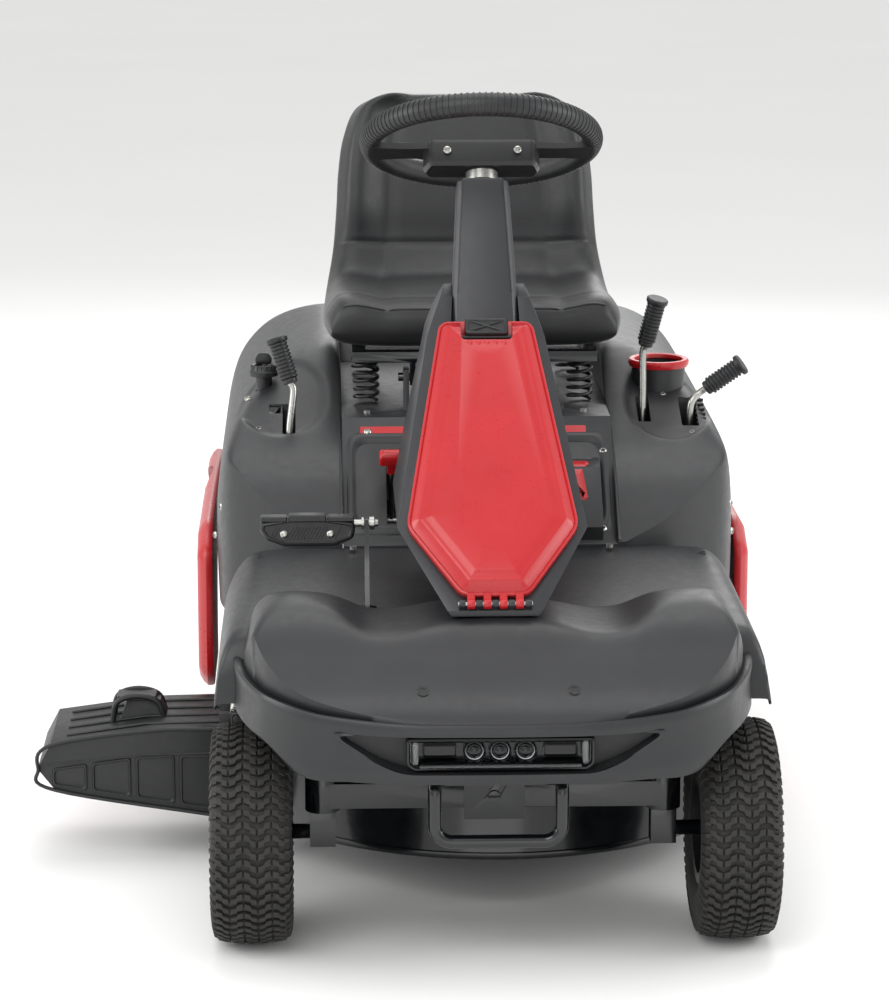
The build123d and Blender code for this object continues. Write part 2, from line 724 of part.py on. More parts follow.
def console_body():
    """Hollow pedestal between the knees, open under the lid and round the steering tower."""
    foot = lid_plane.from_local_coords((0, -6, -0.5))
    brow = lid_plane.from_local_coords((0, lid_length + 8, -0.5))
    low = floor_front_z - 10
    side_points = [
        (foot.Y - 4, low), (foot.Y, foot.Z), (brow.Y, brow.Z), (brow.Y + 16, neck_top_z),
        (brow.Y + 52, neck_top_z + 12), (brow.Y + 88, neck_top_z - 20), (-178, 640), (-215, low)]
    shell = hollow(side_points, console_front_outline(), -200, 200, -700, 0, mouth_depth=20)
    ridge = cowl_ridge_z + face_gap
    shell -= from_side([(-700, 300), (-700, ridge), (cowl_back_y + 1, ridge),
                        (cowl_back_y + 1, floor_z(cowl_back_y + 1) + face_gap),
                        (riser_foot_y, floor_z(riser_foot_y) + face_gap), (riser_foot_y, 300)],
                       -200, 200)
    opening = make_face(Polyline(*lid_outline(14), close=True))
    shell -= extrude(lid_plane * opening, amount=30, both=True)
    shell -= tower_solid(face_gap, -60)
    for x in (-41, -20, 0, 20, 41):
        lug = Pos(x, 0, hinge_lift) * Rot(0, 90, 0) * Cylinder(5.5, 8)
        lug += Pos(x, 0, hinge_lift / 2 - 2) * Box(8, 11, hinge_lift + 4)
        shell += lid_plane * lug
    return shell - lid_plane * Pos(0, 0, hinge_lift) * Rot(0, 90, 0) * Cylinder(
        hinge_pin_radius + running_clearance, 120)


def tower_half_width(along):
    """Half the tower's width at a distance along the column axis."""
    taper = (tower_foot_half - tower_head_half) / (tower_head - tower_foot)
    return tower_head_half + (tower_head - along) * taper


def tower_solid(grow, drop):
    """Outer form of the steering tower, grown by a gap."""
    low = tower_foot + drop
    half_low = tower_half_width(low) + grow
    half_high = tower_head_half + grow
    half_depth = tower_depth / 2 + grow
    outline = make_face(Polyline((-half_low, low), (half_low, low), (half_high, tower_head),
                                 (-half_high, tower_head), close=True))
    front = Plane((0, half_depth, 0), x_dir=(1, 0, 0), z_dir=(0, -1, 0))
    return column_plane * extrude(front * outline, amount=2 * half_depth)


def steering_tower():
    """Four-sided sleeve round the steering shaft with a bearing cap on top."""
    sleeve = tower_solid(0, 0)
    sleeve -= column_plane * (Pos(0, 0, -160) * Box(56, tower_depth - 8, 170))
    sleeve -= column_plane * (Pos(0, 0, -60) * Cylinder(column_radius + running_clearance, 60))
    return sleeve


def console_lid():
    """Raised lid with hinge knuckles at its foot and a pocket for the latch."""
    shape = make_face(Polyline(*lid_outline(0), close=True))
    top = make_face(Polyline(*lid_outline(14), close=True))
    rest = 0.8
    solid = extrude(Pos(0, 0, rest) * shape, amount=8)
    solid += loft([Pos(0, 0, rest + 8) * shape, Pos(0, 0, rest + lid_height) * top], ruled=True)
    inner = make_face(Polyline(*lid_outline(5), close=True))
    inner_top = make_face(Polyline(*lid_outline(17), close=True))
    cavity = extrude(Pos(0, 0, rest - 1) * inner, amount=9)
    cavity += loft([Pos(0, 0, rest + 8) * inner,
                    Pos(0, 0, rest + lid_height - lid_wall) * inner_top], ruled=True)
    pocket = solid & block(-36, 36, lid_length - 40, lid_length + 5, rest, 60)
    shell = solid - cavity + pocket
    shell -= block(-32, 32, lid_length - 36, lid_length + 6, 8, 60)
    axis = Pos(0, 0, hinge_lift) * Rot(0, 90, 0)
    for x in (-30, -10, 10, 30):
        shell += block(x - 5, x + 5, 0, 12, hinge_lift - 4, hinge_lift + 3)
        shell += Pos(x, 0, 0) * axis * Cylinder(6, 10)
    shell -= axis * Cylinder(hinge_pin_radius + running_clearance, 120)
    shell -= Pos(0, lid_length - 29, 16) * Rot(0, 90, 0) * Cylinder(3 + running_clearance, 80)
    return lid_plane * shell


def lid_latch():
    """Thumb latch in the lid's pocket, hinged at its lower edge."""
    plate = Pos(0, lid_length - 17, 17) * Box(57, 26, 8)
    pin = Pos(0, lid_length - 29, 16) * Rot(0, 90, 0) * (Cylinder(4.5, 57) + Cylinder(3, 69))
    return lid_plane * (plate + pin)


def fuel_tank():
    """Saddle tank under the lid with a filler neck beside the steering shaft."""
    depth = 45
    outline = both_sides([(0, 445), (48, 445), (95, 520), (80, 600), (0, 600)])
    tank = from_front(outline, -600, -225)
    ear_limit = offset(make_face(Polyline(*console_front_outline(), close=True)),
                       amount=-(moulding_wall + face_gap), kind=Kind.INTERSECTION)
    ears = extrude(Plane.XZ * ear_limit, amount=40)
    tank += Pos(0, -360, 0) * ears & block(-130, 130, -400, -360, 505, 511)
    tank &= lid_plane * (Pos(0, 200, -depth - 200) * Box(400, 900, 400))
    slope = math.tan(math.radians(column_tilt))
    back_low = wheel_hub_y - (wheel_hub_z - 440) * slope + 30
    back_high = wheel_hub_y - (wheel_hub_z - 610) * slope + 30
    tank -= from_side([(-600, 440), (back_low, 440), (back_high, 610), (-600, 610)], -30, 30)
    neck = lid_plane * (Pos(filler_x, filler_run, -depth / 2 - 6) * Cylinder(18, depth - 4))
    return tank + neck


def fuel_cap():
    """Ribbed cap over the filler neck."""
    cap = Cylinder(23, 14) - Pos(0, 0, -2) * Cylinder(18 + face_gap, 12)
    for index in range(12):
        cap += Rot(0, 0, index * 30) * Pos(23, 0, 0) * Box(3, 4, 14)
    return lid_plane * Pos(filler_x, filler_run, -9) * cap


def front_bar():
    """Bent guard bar hanging from the front cross plate."""
    top = 248
    low = 169
    front = bumper_front_y + 55
    path = FilletPolyline((-78, front_axle_y - 106, top), (-78, front, top), (-78, front, low),
                          (78, front, low), (78, front, top), (78, front_axle_y - 106, top),
                          radius=22)
    section = Plane((-78, front_axle_y - 106, top), z_dir=(0, -1, 0)) * Circle(8.5)
    return sweep(section, path=path)


# Seat

def seat_cushion():
    """High-backed seat, one padded shape."""
    side_points = [(52, seat_pan_z + 15), (38, 680), (48, 703), (85, 714), (200, 700), (300, 712),
                   (338, 738), (372, 860), (398, 975), (420, 990), (448, 985), (452, 960),
                   (420, 760), (392, seat_pan_z + 15)]
    half = seat_width / 2
    outline = both_sides([(0, seat_pan_z + 15), (half - 40, seat_pan_z + 15), (half, 690),
                          (half - 4, 730), (half - 22, 760), (half - 21, 860), (half - 36, 940),
                          (half - 62, 978), (half - 90, 990), (0, 992)])
    return from_side(side_points, -half, half) & from_front(outline, 0, 600)


def seat_pan():
    """Steel pan with hinge ears, the hinge pin, and coil springs bolted under it."""
    pan = block(-170, 170, 50, 385, seat_pan_z, seat_pan_z + 15 - cushion_gap)
    pan -= block(-150, 150, 75, 360, seat_pan_z + 3, seat_pan_z + 20)
    for x in (-86, 86):
        pan += block(x - 4, x + 4, seat_pivot_y - 12, seat_pivot_y + 12, seat_pivot_z - 10,
                     seat_pan_z + 1)
    pan += rod((-106, seat_pivot_y, seat_pivot_z), (106, seat_pivot_y, seat_pivot_z), 6)
    springs = []
    low = seat_deck_z + face_gap
    for side in (-1, 1):
        for y in (112, 350):
            place = Pos(side * 150, y, (low + seat_pan_z) / 2)
            springs.append(place * (Cylinder(19, seat_pan_z - low) - Cylinder(13, 200)))
    return [pan, *springs]


# Mower deck

def deck_shell():
    """Round pressed deck, open below, with the side outlet, a rolled lip and lift brackets."""
    centre = Pos(deck_centre_x, deck_centre_y, deck_bottom_z)
    shell = centre * Pos(0, 0, deck_depth / 2) * Cylinder(deck_radius, deck_depth)
    shell -= centre * Pos(0, 0, deck_depth / 2 - deck_wall) * Cylinder(
        deck_radius - deck_wall, deck_depth)
    shell += centre * Pos(0, 0, 4) * (Cylinder(deck_radius + 5, 8) - Cylinder(deck_radius - 3, 8))
    shell += Pos(deck_centre_x, deck_centre_y, deck_top_z + 6) * Cylinder(120, 12)
    shell -= Pos(deck_centre_x, deck_centre_y, deck_top_z) * Cylinder(40 + running_clearance, 60)
    outlet = block(deck_centre_x - deck_radius - 20, deck_centre_x - deck_radius + 110,
                   -190, -15, deck_bottom_z - 5, deck_top_z - 12)
    shell -= outlet
    flange_x = deck_centre_x - deck_radius + 4
    shell += block(flange_x - 4, flange_x + 60, -194, -11, deck_top_z - 3, deck_top_z)
    hinge_z = chute_hinge_z
    for y in (-178, -30):
        shell += block(flange_x - 12, flange_x + 8, y - 4, y + 4, deck_top_z - 3, hinge_z + 9)
    bore = rod((flange_x - 4, -200, hinge_z), (flange_x - 4, 0, hinge_z),
               chute_hinge_radius + running_clearance)
    shell -= bore
    for x, y in ((-130, -270), (170, -270), (-130, 190), (170, 190)):
        shell += block(x - 15, x + 15, y - 3, y + 3, deck_top_z - 2, deck_top_z + 32)
    return shell


def deck_fittings():
    """Blade spindle housing bolted into the middle of the deck."""
    centre = Pos(deck_centre_x, deck_centre_y, 0)
    housing = centre * Pos(0, 0, deck_top_z - 14) * Cylinder(40, 64)
    housing += centre * Pos(0, 0, deck_top_z + 15) * Cylinder(58, 6)
    housing -= centre * Pos(0, 0, deck_top_z) * Cylinder(spindle_radius + running_clearance, 120)
    return housing


def blade_spindle():
    """Spindle shaft with its belt pulley and blade boss."""
    centre = Pos(deck_centre_x, deck_centre_y, 0)
    top = blade_belt_z + 14
    low = blade_z + 2
    shaft = centre * Pos(0, 0, (top + low) / 2) * Cylinder(spindle_radius, top - low)
    shaft += centre * Pos(0, 0, low + 10) * Cylinder(20, 20)
    shaft += centre * pulley(blade_pulley_radius, blade_belt_z)
    return shaft


def pulley(radius, z):
    """V-belt pulley about a vertical axis; the belt runs at the given radius."""
    groove = belt_thickness / 2 + face_gap
    points = [(0, z - 10), (radius + 8, z - 10), (radius + 8, z - groove),
              (radius - belt_thickness / 2, z - groove), (radius - belt_thickness / 2, z + groove),
              (radius + 8, z + groove), (radius + 8, z + 10), (0, z + 10)]
    outline = make_face(Polyline(*points, close=True))
    return revolve(Plane.XZ * outline, axis=Axis.Z)


def belt(centre_a, radius_a, centre_b, radius_b, z):
    """Closed V-belt round two pulleys, clear of both grooves."""
    inside = -belt_thickness / 2 + face_gap
    outside = belt_thickness / 2 + face_gap
    rings = []
    for reach in (outside, inside):
        edges = [*(Pos(*centre_a) * Circle(radius_a + reach)).edges(),
                 *(Pos(*centre_b) * Circle(radius_b + reach)).edges()]
        rings.append(make_hull(edges))
    loop = extrude(Pos(0, 0, z - belt_thickness / 2) * (rings[0] - rings[1]),
                   amount=belt_thickness)
    return loop


def mower_blade():
    """Straight cutting blade with lifted trailing tips, and its bolt."""
    half = blade_length / 2
    bar = Box(blade_length, 55, 4)
    for side in (-1, 1):
        bar += Pos(side * (half - 40), side * 24, 6) * Rot(side * 25, 0, 0) * Box(80, 22, 3)
    bar += Pos(0, 0, -4) * Cylinder(11, 6)
    return Pos(deck_centre_x, deck_centre_y, blade_z) * Rot(0, 0, 35) * bar


def discharge_chute():
    """Hinged deflector that hangs over the deck's side outlet, open below and inwards."""
    hinge_x = deck_centre_x - deck_radius
    tip = hinge_x - chute_reach
    outline = [(hinge_x - 12, 60), (hinge_x - 12, 186), (hinge_x - 115, 184), (tip, 166),
               (tip - 18, 132), (tip + 6, 101)]
    y0 = -192
    y1 = -16
    hood = from_front(outline, y0, y1)
    inner = [(hinge_x + 5, 40), (hinge_x + 5, 182), (hinge_x - 115, 180), (tip + 3, 162),
             (tip - 12, 132), (tip + 3, 90), (hinge_x - 12, 40)]
    hood -= from_front(inner, y0 + 4, y1 - 4)
    for y in (-165, -104, -43):
        hood += block(hinge_x - 24, hinge_x - 4, y - 7, y + 7, 184, chute_hinge_z + 4)
    hood += rod((hinge_x, -186, chute_hinge_z), (hinge_x, -22, chute_hinge_z),
                chute_hinge_radius)
    for y in (-165, -104, -43):
        hood += rod((hinge_x, y - 7, chute_hinge_z), (hinge_x, y + 7, chute_hinge_z), 10)
    grip = from_front([(hinge_x - 95, 180), (hinge_x - 105, 205), (hinge_x - 150, 208),
                       (hinge_x - 160, 176)], -116, -84)
    return hood + grip


# Driveline

def engine_block():
    """Upright-shaft engine with its cooling fins and the muffler behind it."""
    base = Pos(0, engine_y, rail_top + 6 + face_gap)
    engine = base * Pos(0, 0, 45) * Cylinder(88, 90)
    engine += base * Pos(0, -100, 45) * Box(90, 60, 86)
    for z in range(12, 88, 12):
        engine += base * Pos(0, -105, z) * Box(104, 62, 4)
    engine += base * Pos(0, 138, 50) * Rot(0, 90, 0) * Cylinder(34, 150)
    engine += base * Pos(0, 96, 50) * Rot(90, 0, 0) * Cylinder(12, 40)
    engine -= base * Cylinder(crankshaft_radius + running_clearance, 130)
    return engine


def engine_shroud():
    """Blower housing with a domed intake screen."""
    z = rail_top + 96 + 2 * face_gap
    cover = Pos(0, engine_y, z + 45) * Cylinder(104, 90)
    cover -= Pos(0, engine_y, z + 41) * Cylinder(100, 90)
    cover += Pos(0, engine_y, z + 93) * Cylinder(60, 8)
    cover += Pos(0, engine_y, z + 2) * (Cylinder(102, 4) - Cylinder(70, 4))
    return cover


def crank_pulley():
    """Crankshaft end with a drive pulley above the blade pulley."""
    shaft = Pos(0, engine_y, 0) * rod((0, 0, blade_belt_z - 12), (0, 0, rail_top + 60),
                                      crankshaft_radius)
    shaft += Pos(0, engine_y, 0) * pulley(crank_pulley_radius, drive_belt_z)
    shaft += Pos(0, engine_y, 0) * pulley(crank_pulley_radius, blade_belt_z)
    return shaft


def transaxle():
    """Gear case between the rear wheels, with axle tubes and mounting straps."""
    top = rear_axle_z + 32
    case = block(-70, 70, transaxle_input_y - 40, rear_axle_y + 70, rear_axle_z - 45, top)
    case += rod((-150, rear_axle_y, rear_axle_z), (150, rear_axle_y, rear_axle_z), 26)
    for side in (-1, 1):
        x0, x1 = sorted((side * 122, side * 146))
        case += block(x0, x1, rear_axle_y - 25, rear_axle_y + 25, rear_axle_z,
                      rail_bottom - face_gap)
    case += Pos(0, transaxle_input_y, top) * Cylinder(20, 12)
    case -= rod((-160, rear_axle_y, rear_axle_z), (160, rear_axle_y, rear_axle_z),
                stub_axle_radius + running_clearance)
    case -= Pos(0, transaxle_input_y, top) * Cylinder(8 + running_clearance, 52)
    return case


def transaxle_pulley():
    """Input shaft and pulley on top of the gear case."""
    shaft = rod((0, 0, rear_axle_z + 10), (0, 0, drive_belt_z + 14), 8)
    return Pos(0, transaxle_input_y, 0) * (shaft + pulley(transaxle_pulley_radius, drive_belt_z))


# Controls

def lever(pivot, knee, grip_start, grip_end):
    """Cranked steel rod on a pivot tube under the panel, and its round grip."""
    pivot = Vector(*pivot)
    half = Vector(14, 0, 0)
    path = FilletPolyline(pivot, knee, grip_start, radius=12)
    steel = sweep(Plane(pivot, z_dir=path % 0) * Circle(lever_rod_radius), path=path)
    steel += rod(pivot - half, pivot + half, 10)
    steel -= rod(pivot - 2 * half, pivot + 2 * half, lever_pivot_radius + running_clearance)
    return [steel, rod(grip_start, grip_end, grip_radius)]


def lever_pivots():
    """Cross rod inside each fender that the levers turn on."""
    inner = seat_deck_half_width + moulding_wall + 2 * face_gap
    outer = floor_half_width - moulding_wall
    left = rod((inner, lift_pivot_y, lever_pivot_z), (outer, lift_pivot_y, lever_pivot_z),
               lever_pivot_radius)
    right = rod((-inner, shift_pivot_y, lever_pivot_z), (-outer, shift_pivot_y, lever_pivot_z),
                lever_pivot_radius)
    return [left, right]


def pedal():
    """Wide pedal pad on a flat arm that turns on the frame's pivot pin."""
    arm = from_side([(pedal_pivot_y - 9, pedal_pivot_z - 9), (pedal_pivot_y + 9, pedal_pivot_z - 9),
                     (-388, 400), (-322, 500), (-334, 508), (-402, 404)], pedal_x - 3, pedal_x + 3)
    arm += rod((pedal_x - 6, pedal_pivot_y, pedal_pivot_z),
               (pedal_x + 6, pedal_pivot_y, pedal_pivot_z), 12)
    arm -= rod((pedal_x - 30, pedal_pivot_y, pedal_pivot_z),
               (pedal_x + 30, pedal_pivot_y, pedal_pivot_z), 6 + running_clearance)
    pad = block(-294, -170, -340, -322, 472, 512)
    neck = rod((-172, -330, 499), (pedal_x + 8, -330, 499), 5)
    return arm + pad + neck


def parking_lever():
    """Short lever with a T-shaped knob, through the slot in the riser."""
    pivot = Vector(parking_x, parking_pivot_y, parking_pivot_z)
    knob = Vector(parking_x, -96, 537)
    half = Vector(8, 0, 0)
    stem = rod(pivot, knob, 4) + rod(pivot - half, pivot + half, 9)
    stem -= rod(pivot - 3 * half, pivot + 3 * half, 5 + running_clearance)
    head = Plane(knob, x_dir=(1, 0, 0), z_dir=(knob - pivot).normalized())
    return stem + head * Box(34, 16, 22)


def ignition():
    """Key switch barrel in the right control panel, and the key that turns in it."""
    place = Pos(key_x, key_y, panel_z(key_y))
    barrel = Pos(0, 0, -5) * Cylinder(11 - face_gap, 42) + Pos(0, 0, 16) * Cylinder(17, 14)
    barrel -= Pos(0, 0, 12) * Cylinder(5 + face_gap, 40)
    key = Pos(0, 0, 12) * Cylinder(5, 36) + Pos(0, 0, 36) * Box(24, 3, 18)
    return place * barrel, place * key


def cup_holder():
    """Ring and cup let into the left control panel."""
    place = Pos(cup_x, cup_y, panel_z(cup_y))
    cup = place * (Pos(0, 0, -18) * Cylinder(cup_ring_radius - 6, 80))
    cup += place * (Pos(0, 0, 24) * Cylinder(cup_ring_radius, 8))
    return cup - place * (Pos(0, 0, -10) * Cylinder(cup_ring_radius - 9, 84))


def body_screws():
    """Round-headed screws in the seat deck and foot floor, and the lid's hinge pin."""
    heads = []
    for side in (-1, 1):
        heads.append(Pos(side * 150, 30, seat_deck_z + 2.2) * Cylinder(5, 4))
        heads.append(Pos(side * 172, -165, floor_z(-165) + 2.6) * Cylinder(5, 4))
    ends = [lid_plane.from_local_coords((x, 0, hinge_lift)) for x in (-46, 46)]
    heads.append(rod(*ends, hinge_pin_radius))
    return heads


def assemble():
    """Every node of the machine by name."""
    lens_housing, lens = headlight()
    key_barrel, key = ignition()
    pieces = {
        "main_frame": main_frame(),
        "front_cowl": front_cowl(),
        "front_bumper": front_bumper(),
        "headlight_housing": lens_housing,
        "headlight_lens": lens,
        "front_bar": front_bar(),
        "floor_pan": floor_pan(),
        "seat_riser": seat_riser(),
        "left_fender": fender(1),
        "right_fender": fender(-1),
        "side_panels": side_panels(),
        "rear_cover": rear_cover(),
        "console_body": console_body(),
        "steering_tower": steering_tower(),
        "console_lid": console_lid(),
        "lid_latch": lid_latch(),
        "fuel_tank": fuel_tank(),
        "fuel_cap": fuel_cap(),
        "body_screws": body_screws(),
        "steering_wheel": steering_wheel(),
        "steering_shaft": steering_shaft(),
        "lower_shaft": lower_shaft(),
        "steering_sector": steering_sector(),
        "drag_link": drag_link(),
        "tie_rod": tie_rod(),
        "front_axle": front_axle_beam(),
        "left_spindle": spindle(1, True),
        "right_spindle": spindle(-1, False),
        "seat_cushion": seat_cushion(),
        "seat_pan": seat_pan(),
        "deck_shell": deck_shell(),
        "spindle_housing": deck_fittings(),
        "blade_spindle": blade_spindle(),
        "mower_blade": mower_blade(),
        "discharge_chute": discharge_chute(),
        "engine_block": engine_block(),
        "engine_shroud": engine_shroud(),
        "crank_pulley": crank_pulley(),
        "transaxle": transaxle(),
        "transaxle_pulley": transaxle_pulley(),
        "lever_pivots": lever_pivots(),
        "brake_pedal": pedal(),
        "parking_lever": parking_lever(),
        "ignition_switch": key_barrel,
        "ignition_key": key,
        "cup_holder": cup_holder(),
    }
    pieces["drive_belt"] = belt((0, engine_y), crank_pulley_radius,
                                (0, transaxle_input_y), transaxle_pulley_radius, drive_belt_z)
    pieces["blade_belt"] = belt((0, engine_y), crank_pulley_radius,
                                (deck_centre_x, deck_centre_y), blade_pulley_radius, blade_belt_z)
    pieces["shift_lever"] = lever((-258, shift_pivot_y, lever_pivot_z), (-258, 30, 547),
                                  (-255, 45, 613), (-275, 60, 674))
    pieces["blade_lever"] = lever((237, lift_pivot_y, lever_pivot_z), (237, 84, 590),
                                  (240, 88, 656), (256, 76, 724))
    pieces["lift_lever"] = lever((300, lift_pivot_y, lever_pivot_z), (302, 66, 578),
                                 (324, 70, 597), (374, 62, 634))
    for side, word in ((1, "left"), (-1, "right")):
        rubber, steel = front_wheel(side)
        pieces[f"front_{word}_tyre"] = rubber
        pieces[f"front_{word}_rim"] = steel
        rubber, steel = rear_wheel(side)
        pieces[f"rear_{word}_tyre"] = rubber
        pieces[f"rear_{word}_rim"] = steel
    return pieces


def as_one(shape):
    """A list of separate solids, or one shape, as a single compound."""
    parts = shape if isinstance(shape, list) else [shape]
    return Compound(children=[solid for part in parts for solid in part.solids()])


os.makedirs("parts", exist_ok=True)
machine = {name: as_one(shape) for name, shape in assemble().items()}
low = Vector(min(p.bounding_box().min.X for p in machine.values()),
             min(p.bounding_box().min.Y for p in machine.values()), 0)
high = Vector(max(p.bounding_box().max.X for p in machine.values()),
              max(p.bounding_box().max.Y for p in machine.values()), 0)
row_shift = Location((low + high) * -0.5)
for name, piece in machine.items():
    export_step(piece.moved(row_shift), f"parts/{name}.step")
print("row origin at", (low + high) * 0.5)
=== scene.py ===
# %% [markdown]
# # A riding lawn mower
# This notebook dresses a measured model of a small riding mower: charcoal mouldings, a red lid,
# a vinyl seat, a ribbed steering wheel and turf tyres. The measured model comes first and stays
# the frame for everything: each new piece is made in its coordinates, in metres, and rides on
# one of its bodies, so it moves when that body moves.

# %% Load the measured model
import json
import math

import bmesh
import bpy
from mathutils import Matrix, Vector


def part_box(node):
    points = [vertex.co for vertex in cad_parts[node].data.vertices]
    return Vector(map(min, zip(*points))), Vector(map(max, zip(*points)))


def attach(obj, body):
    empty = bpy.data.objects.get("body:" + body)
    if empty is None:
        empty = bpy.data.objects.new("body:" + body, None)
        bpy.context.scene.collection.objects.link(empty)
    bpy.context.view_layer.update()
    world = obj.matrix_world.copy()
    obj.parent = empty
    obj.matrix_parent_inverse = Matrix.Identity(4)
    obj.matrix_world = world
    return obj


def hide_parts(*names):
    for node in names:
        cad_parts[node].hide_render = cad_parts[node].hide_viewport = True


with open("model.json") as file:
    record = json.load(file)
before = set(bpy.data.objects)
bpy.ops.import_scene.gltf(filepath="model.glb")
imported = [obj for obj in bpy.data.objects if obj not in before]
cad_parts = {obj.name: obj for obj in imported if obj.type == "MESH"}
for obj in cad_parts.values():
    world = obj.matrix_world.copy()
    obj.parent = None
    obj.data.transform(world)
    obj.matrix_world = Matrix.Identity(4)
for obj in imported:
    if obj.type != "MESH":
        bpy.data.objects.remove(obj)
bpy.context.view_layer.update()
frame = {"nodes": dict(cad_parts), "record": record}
nodes = frame["nodes"]
body_of_node = {node: body for body, names in frame["record"]["behaviour"]["bodies"].items()
                for node in names}
slot_of_node = {entry["node"]: entry["material_slot"] for entry in frame["record"]["subparts"]}

# %% [markdown]
# ## Where things are
# The mower is drawn about its own centre line, half way between its axles, in millimetres. The
# side chute makes the whole machine lopsided, so the model's origin is not on that centre line.
# The steering tower stands on it, and the front tyre marks the front axle, so those two give
# the shift from drawing sizes to the model.

# %% The machine's centre line
WHEELBASE = 1000
tower_low, tower_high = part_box("steering_tower")
tyre_low, tyre_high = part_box("front_left_tyre")
centre_x = (tower_low.x + tower_high.x) / 2
centre_y = (tyre_low.y + tyre_high.y) / 2 + WHEELBASE / 2000


def at(x, y, z):
    """A point of the machine drawing, in mm, as a point of the model in metres."""
    return Vector((centre_x + x / 1000, centre_y + y / 1000, z / 1000))


print("centre line at", round(centre_x, 4), round(centre_y, 4))

# %% [markdown]
# ## Camera first
# A long lens from about 4.8 m away, a little above the bonnet, shows the front of the machine
# with little perspective. The sensor is the usual 36 mm, so the focal length sets the framing.

# %% Camera
camera_data = bpy.data.cameras.new("camera")
camera_data.sensor_width = 36
camera_data.lens = 127.2
camera = bpy.data.objects.new("camera", camera_data)
bpy.context.scene.collection.objects.link(camera)
right = Vector((0.99939, -0.03490, 0.0)).normalized()
back = Vector((-0.03407, -0.97570, 0.21644)).normalized()
up = back.cross(right)
camera_turn = Matrix((right, up, back)).transposed().to_4x4()
camera.matrix_world = Matrix.Translation(at(-210.26, -4768.93, 1513.74)) @ camera_turn
bpy.context.scene.camera = camera
print("camera at", tuple(round(v, 3) for v in camera.location))

# %% [markdown]
# ## Floor and light
# A plain pale floor and large soft lamps, as in a product studio: one broad lamp above and in
# front, one at each side for the edge highlights on dark plastic, and a bright surround.

# %% Floor and lights
floor_mesh = bpy.data.meshes.new("floor")
floor_mesh.from_pydata([(-30, -30, 0), (30, -30, 0), (30, 30, 0), (-30, 30, 0)], [], [(0, 1, 2, 3)])
floor = bpy.data.objects.new("floor", floor_mesh)
bpy.context.scene.collection.objects.link(floor)


def area_light(name, place, aim, size, power):
    """A square soft box that faces a point."""
    data = bpy.data.lights.new(name, "AREA")
    data.size = size
    data.energy = power
    lamp = bpy.data.objects.new(name, data)
    lamp.location = place
    lamp.rotation_euler = (Vector(aim) - Vector(place)).to_track_quat("-Z", "Y").to_euler()
    bpy.context.scene.collection.objects.link(lamp)
    return lamp


area_light("key_box", (-1.2, -3.2, 3.4), (0, -0.2, 0.5), 2.4, 62)
area_light("left_box", (-3.4, -0.6, 1.7), (0, 0, 0.5), 2.2, 62)
area_light("right_box", (3.5, -0.9, 1.8), (0, 0, 0.5), 2.2, 62)
area_light("top_box", (0.2, 0.6, 4.2), (0, 0, 0.4), 2.6, 46)
area_light("rear_box", (0.8, 3.6, 2.4), (0, 0, 0.6), 2.4, 40)
area_light("low_box", (0, -3.6, 0.5), (0, -0.5, 0.35), 1.6, 8)
world = bpy.data.worlds.new("studio")
bpy.context.scene.world = world
world.use_nodes = True
world.node_tree.nodes["Background"].inputs["Color"].default_value = (1, 1, 1, 1)
world.node_tree.nodes["Background"].inputs["Strength"].default_value = 0.86
bpy.context.scene.view_settings.view_transform = "Standard"

# %% [markdown]
# ## Materials
# Every surface is procedural. Colours are the usual sRGB hex values, so one function turns them
# into the linear numbers that a shader wants. Patterns read Object coordinates, which are in
# metres here, so a noise whose grain is g mm across has a scale of 1000 / g.

# %% Colour and node helpers
def linear(hex_colour):
    """An sRGB hex colour as a linear RGBA."""
    parts = [int(hex_colour[i:i + 2], 16) / 255 for i in (1, 3, 5)]
    curve = [c / 12.92 if c <= 0.04045 else ((c + 0.055) / 1.055) ** 2.4 for c in parts]
    return (*curve, 1.0)


def add(tree, kind, inputs=None, **settings):
    """A node of that kind, with its settings, and its sockets set or linked."""
    node = tree.nodes.new(kind)
    for name, value in settings.items():
        setattr(node, name, value)
    for socket, value in (inputs or {}).items():
        if isinstance(value, bpy.types.NodeSocket):
            tree.links.new(value, node.inputs[socket])
        else:
            node.inputs[socket].default_value = value
    return node


def noise(tree, grain_mm, detail=3.0, roughness=0.5):
    """The factor of a noise whose grain is that size, on Object coordinates."""
    where = add(tree, "ShaderNodeTexCoord").outputs["Object"]
    return add(tree, "ShaderNodeTexNoise", {"Vector": where, "Scale": 1000 / grain_mm,
                                            "Detail": detail, "Roughness": roughness}).outputs["Fac"]


def spread(tree, factor, low, high, start=0.3, stop=0.7):
    """The factor's middle range stretched between two values."""
    return add(tree, "ShaderNodeMapRange", {"Value": factor, "From Min": start, "From Max": stop,
                                            "To Min": low, "To Max": high}).outputs["Result"]


def finish(name, colour, tone, rough, grain_mm, depth_mm, mottle_mm=60, height=None, **sockets):
    """A material: mottled colour, uneven roughness and a fine bump, on one Principled shader.
    tone is the second colour that the first drifts to, and rough is (low, high)."""
    material = bpy.data.materials.new(name)
    material.use_nodes = True
    tree = material.node_tree
    shader = tree.nodes["Principled BSDF"]
    for socket, value in sockets.items():
        shader.inputs[socket.replace("_", " ")].default_value = value
    mottle = noise(tree, mottle_mm, 4.0)
    mix = add(tree, "ShaderNodeMix", {"Factor": spread(tree, mottle, 0, 1), "A": linear(colour),
                                      "B": linear(tone)}, data_type="RGBA")
    tree.links.new(mix.outputs["Result"], shader.inputs["Base Color"])
    scuff = noise(tree, mottle_mm / 5, 6.0, 0.65)
    tree.links.new(spread(tree, scuff, *rough), shader.inputs["Roughness"])
    grain = height(tree) if height else noise(tree, grain_mm, 2.0)
    bump = add(tree, "ShaderNodeBump", {"Height": grain, "Distance": depth_mm / 1000,
                                        "Strength": 1.0})
    tree.links.new(bump.outputs["Normal"], shader.inputs["Normal"])
    return material


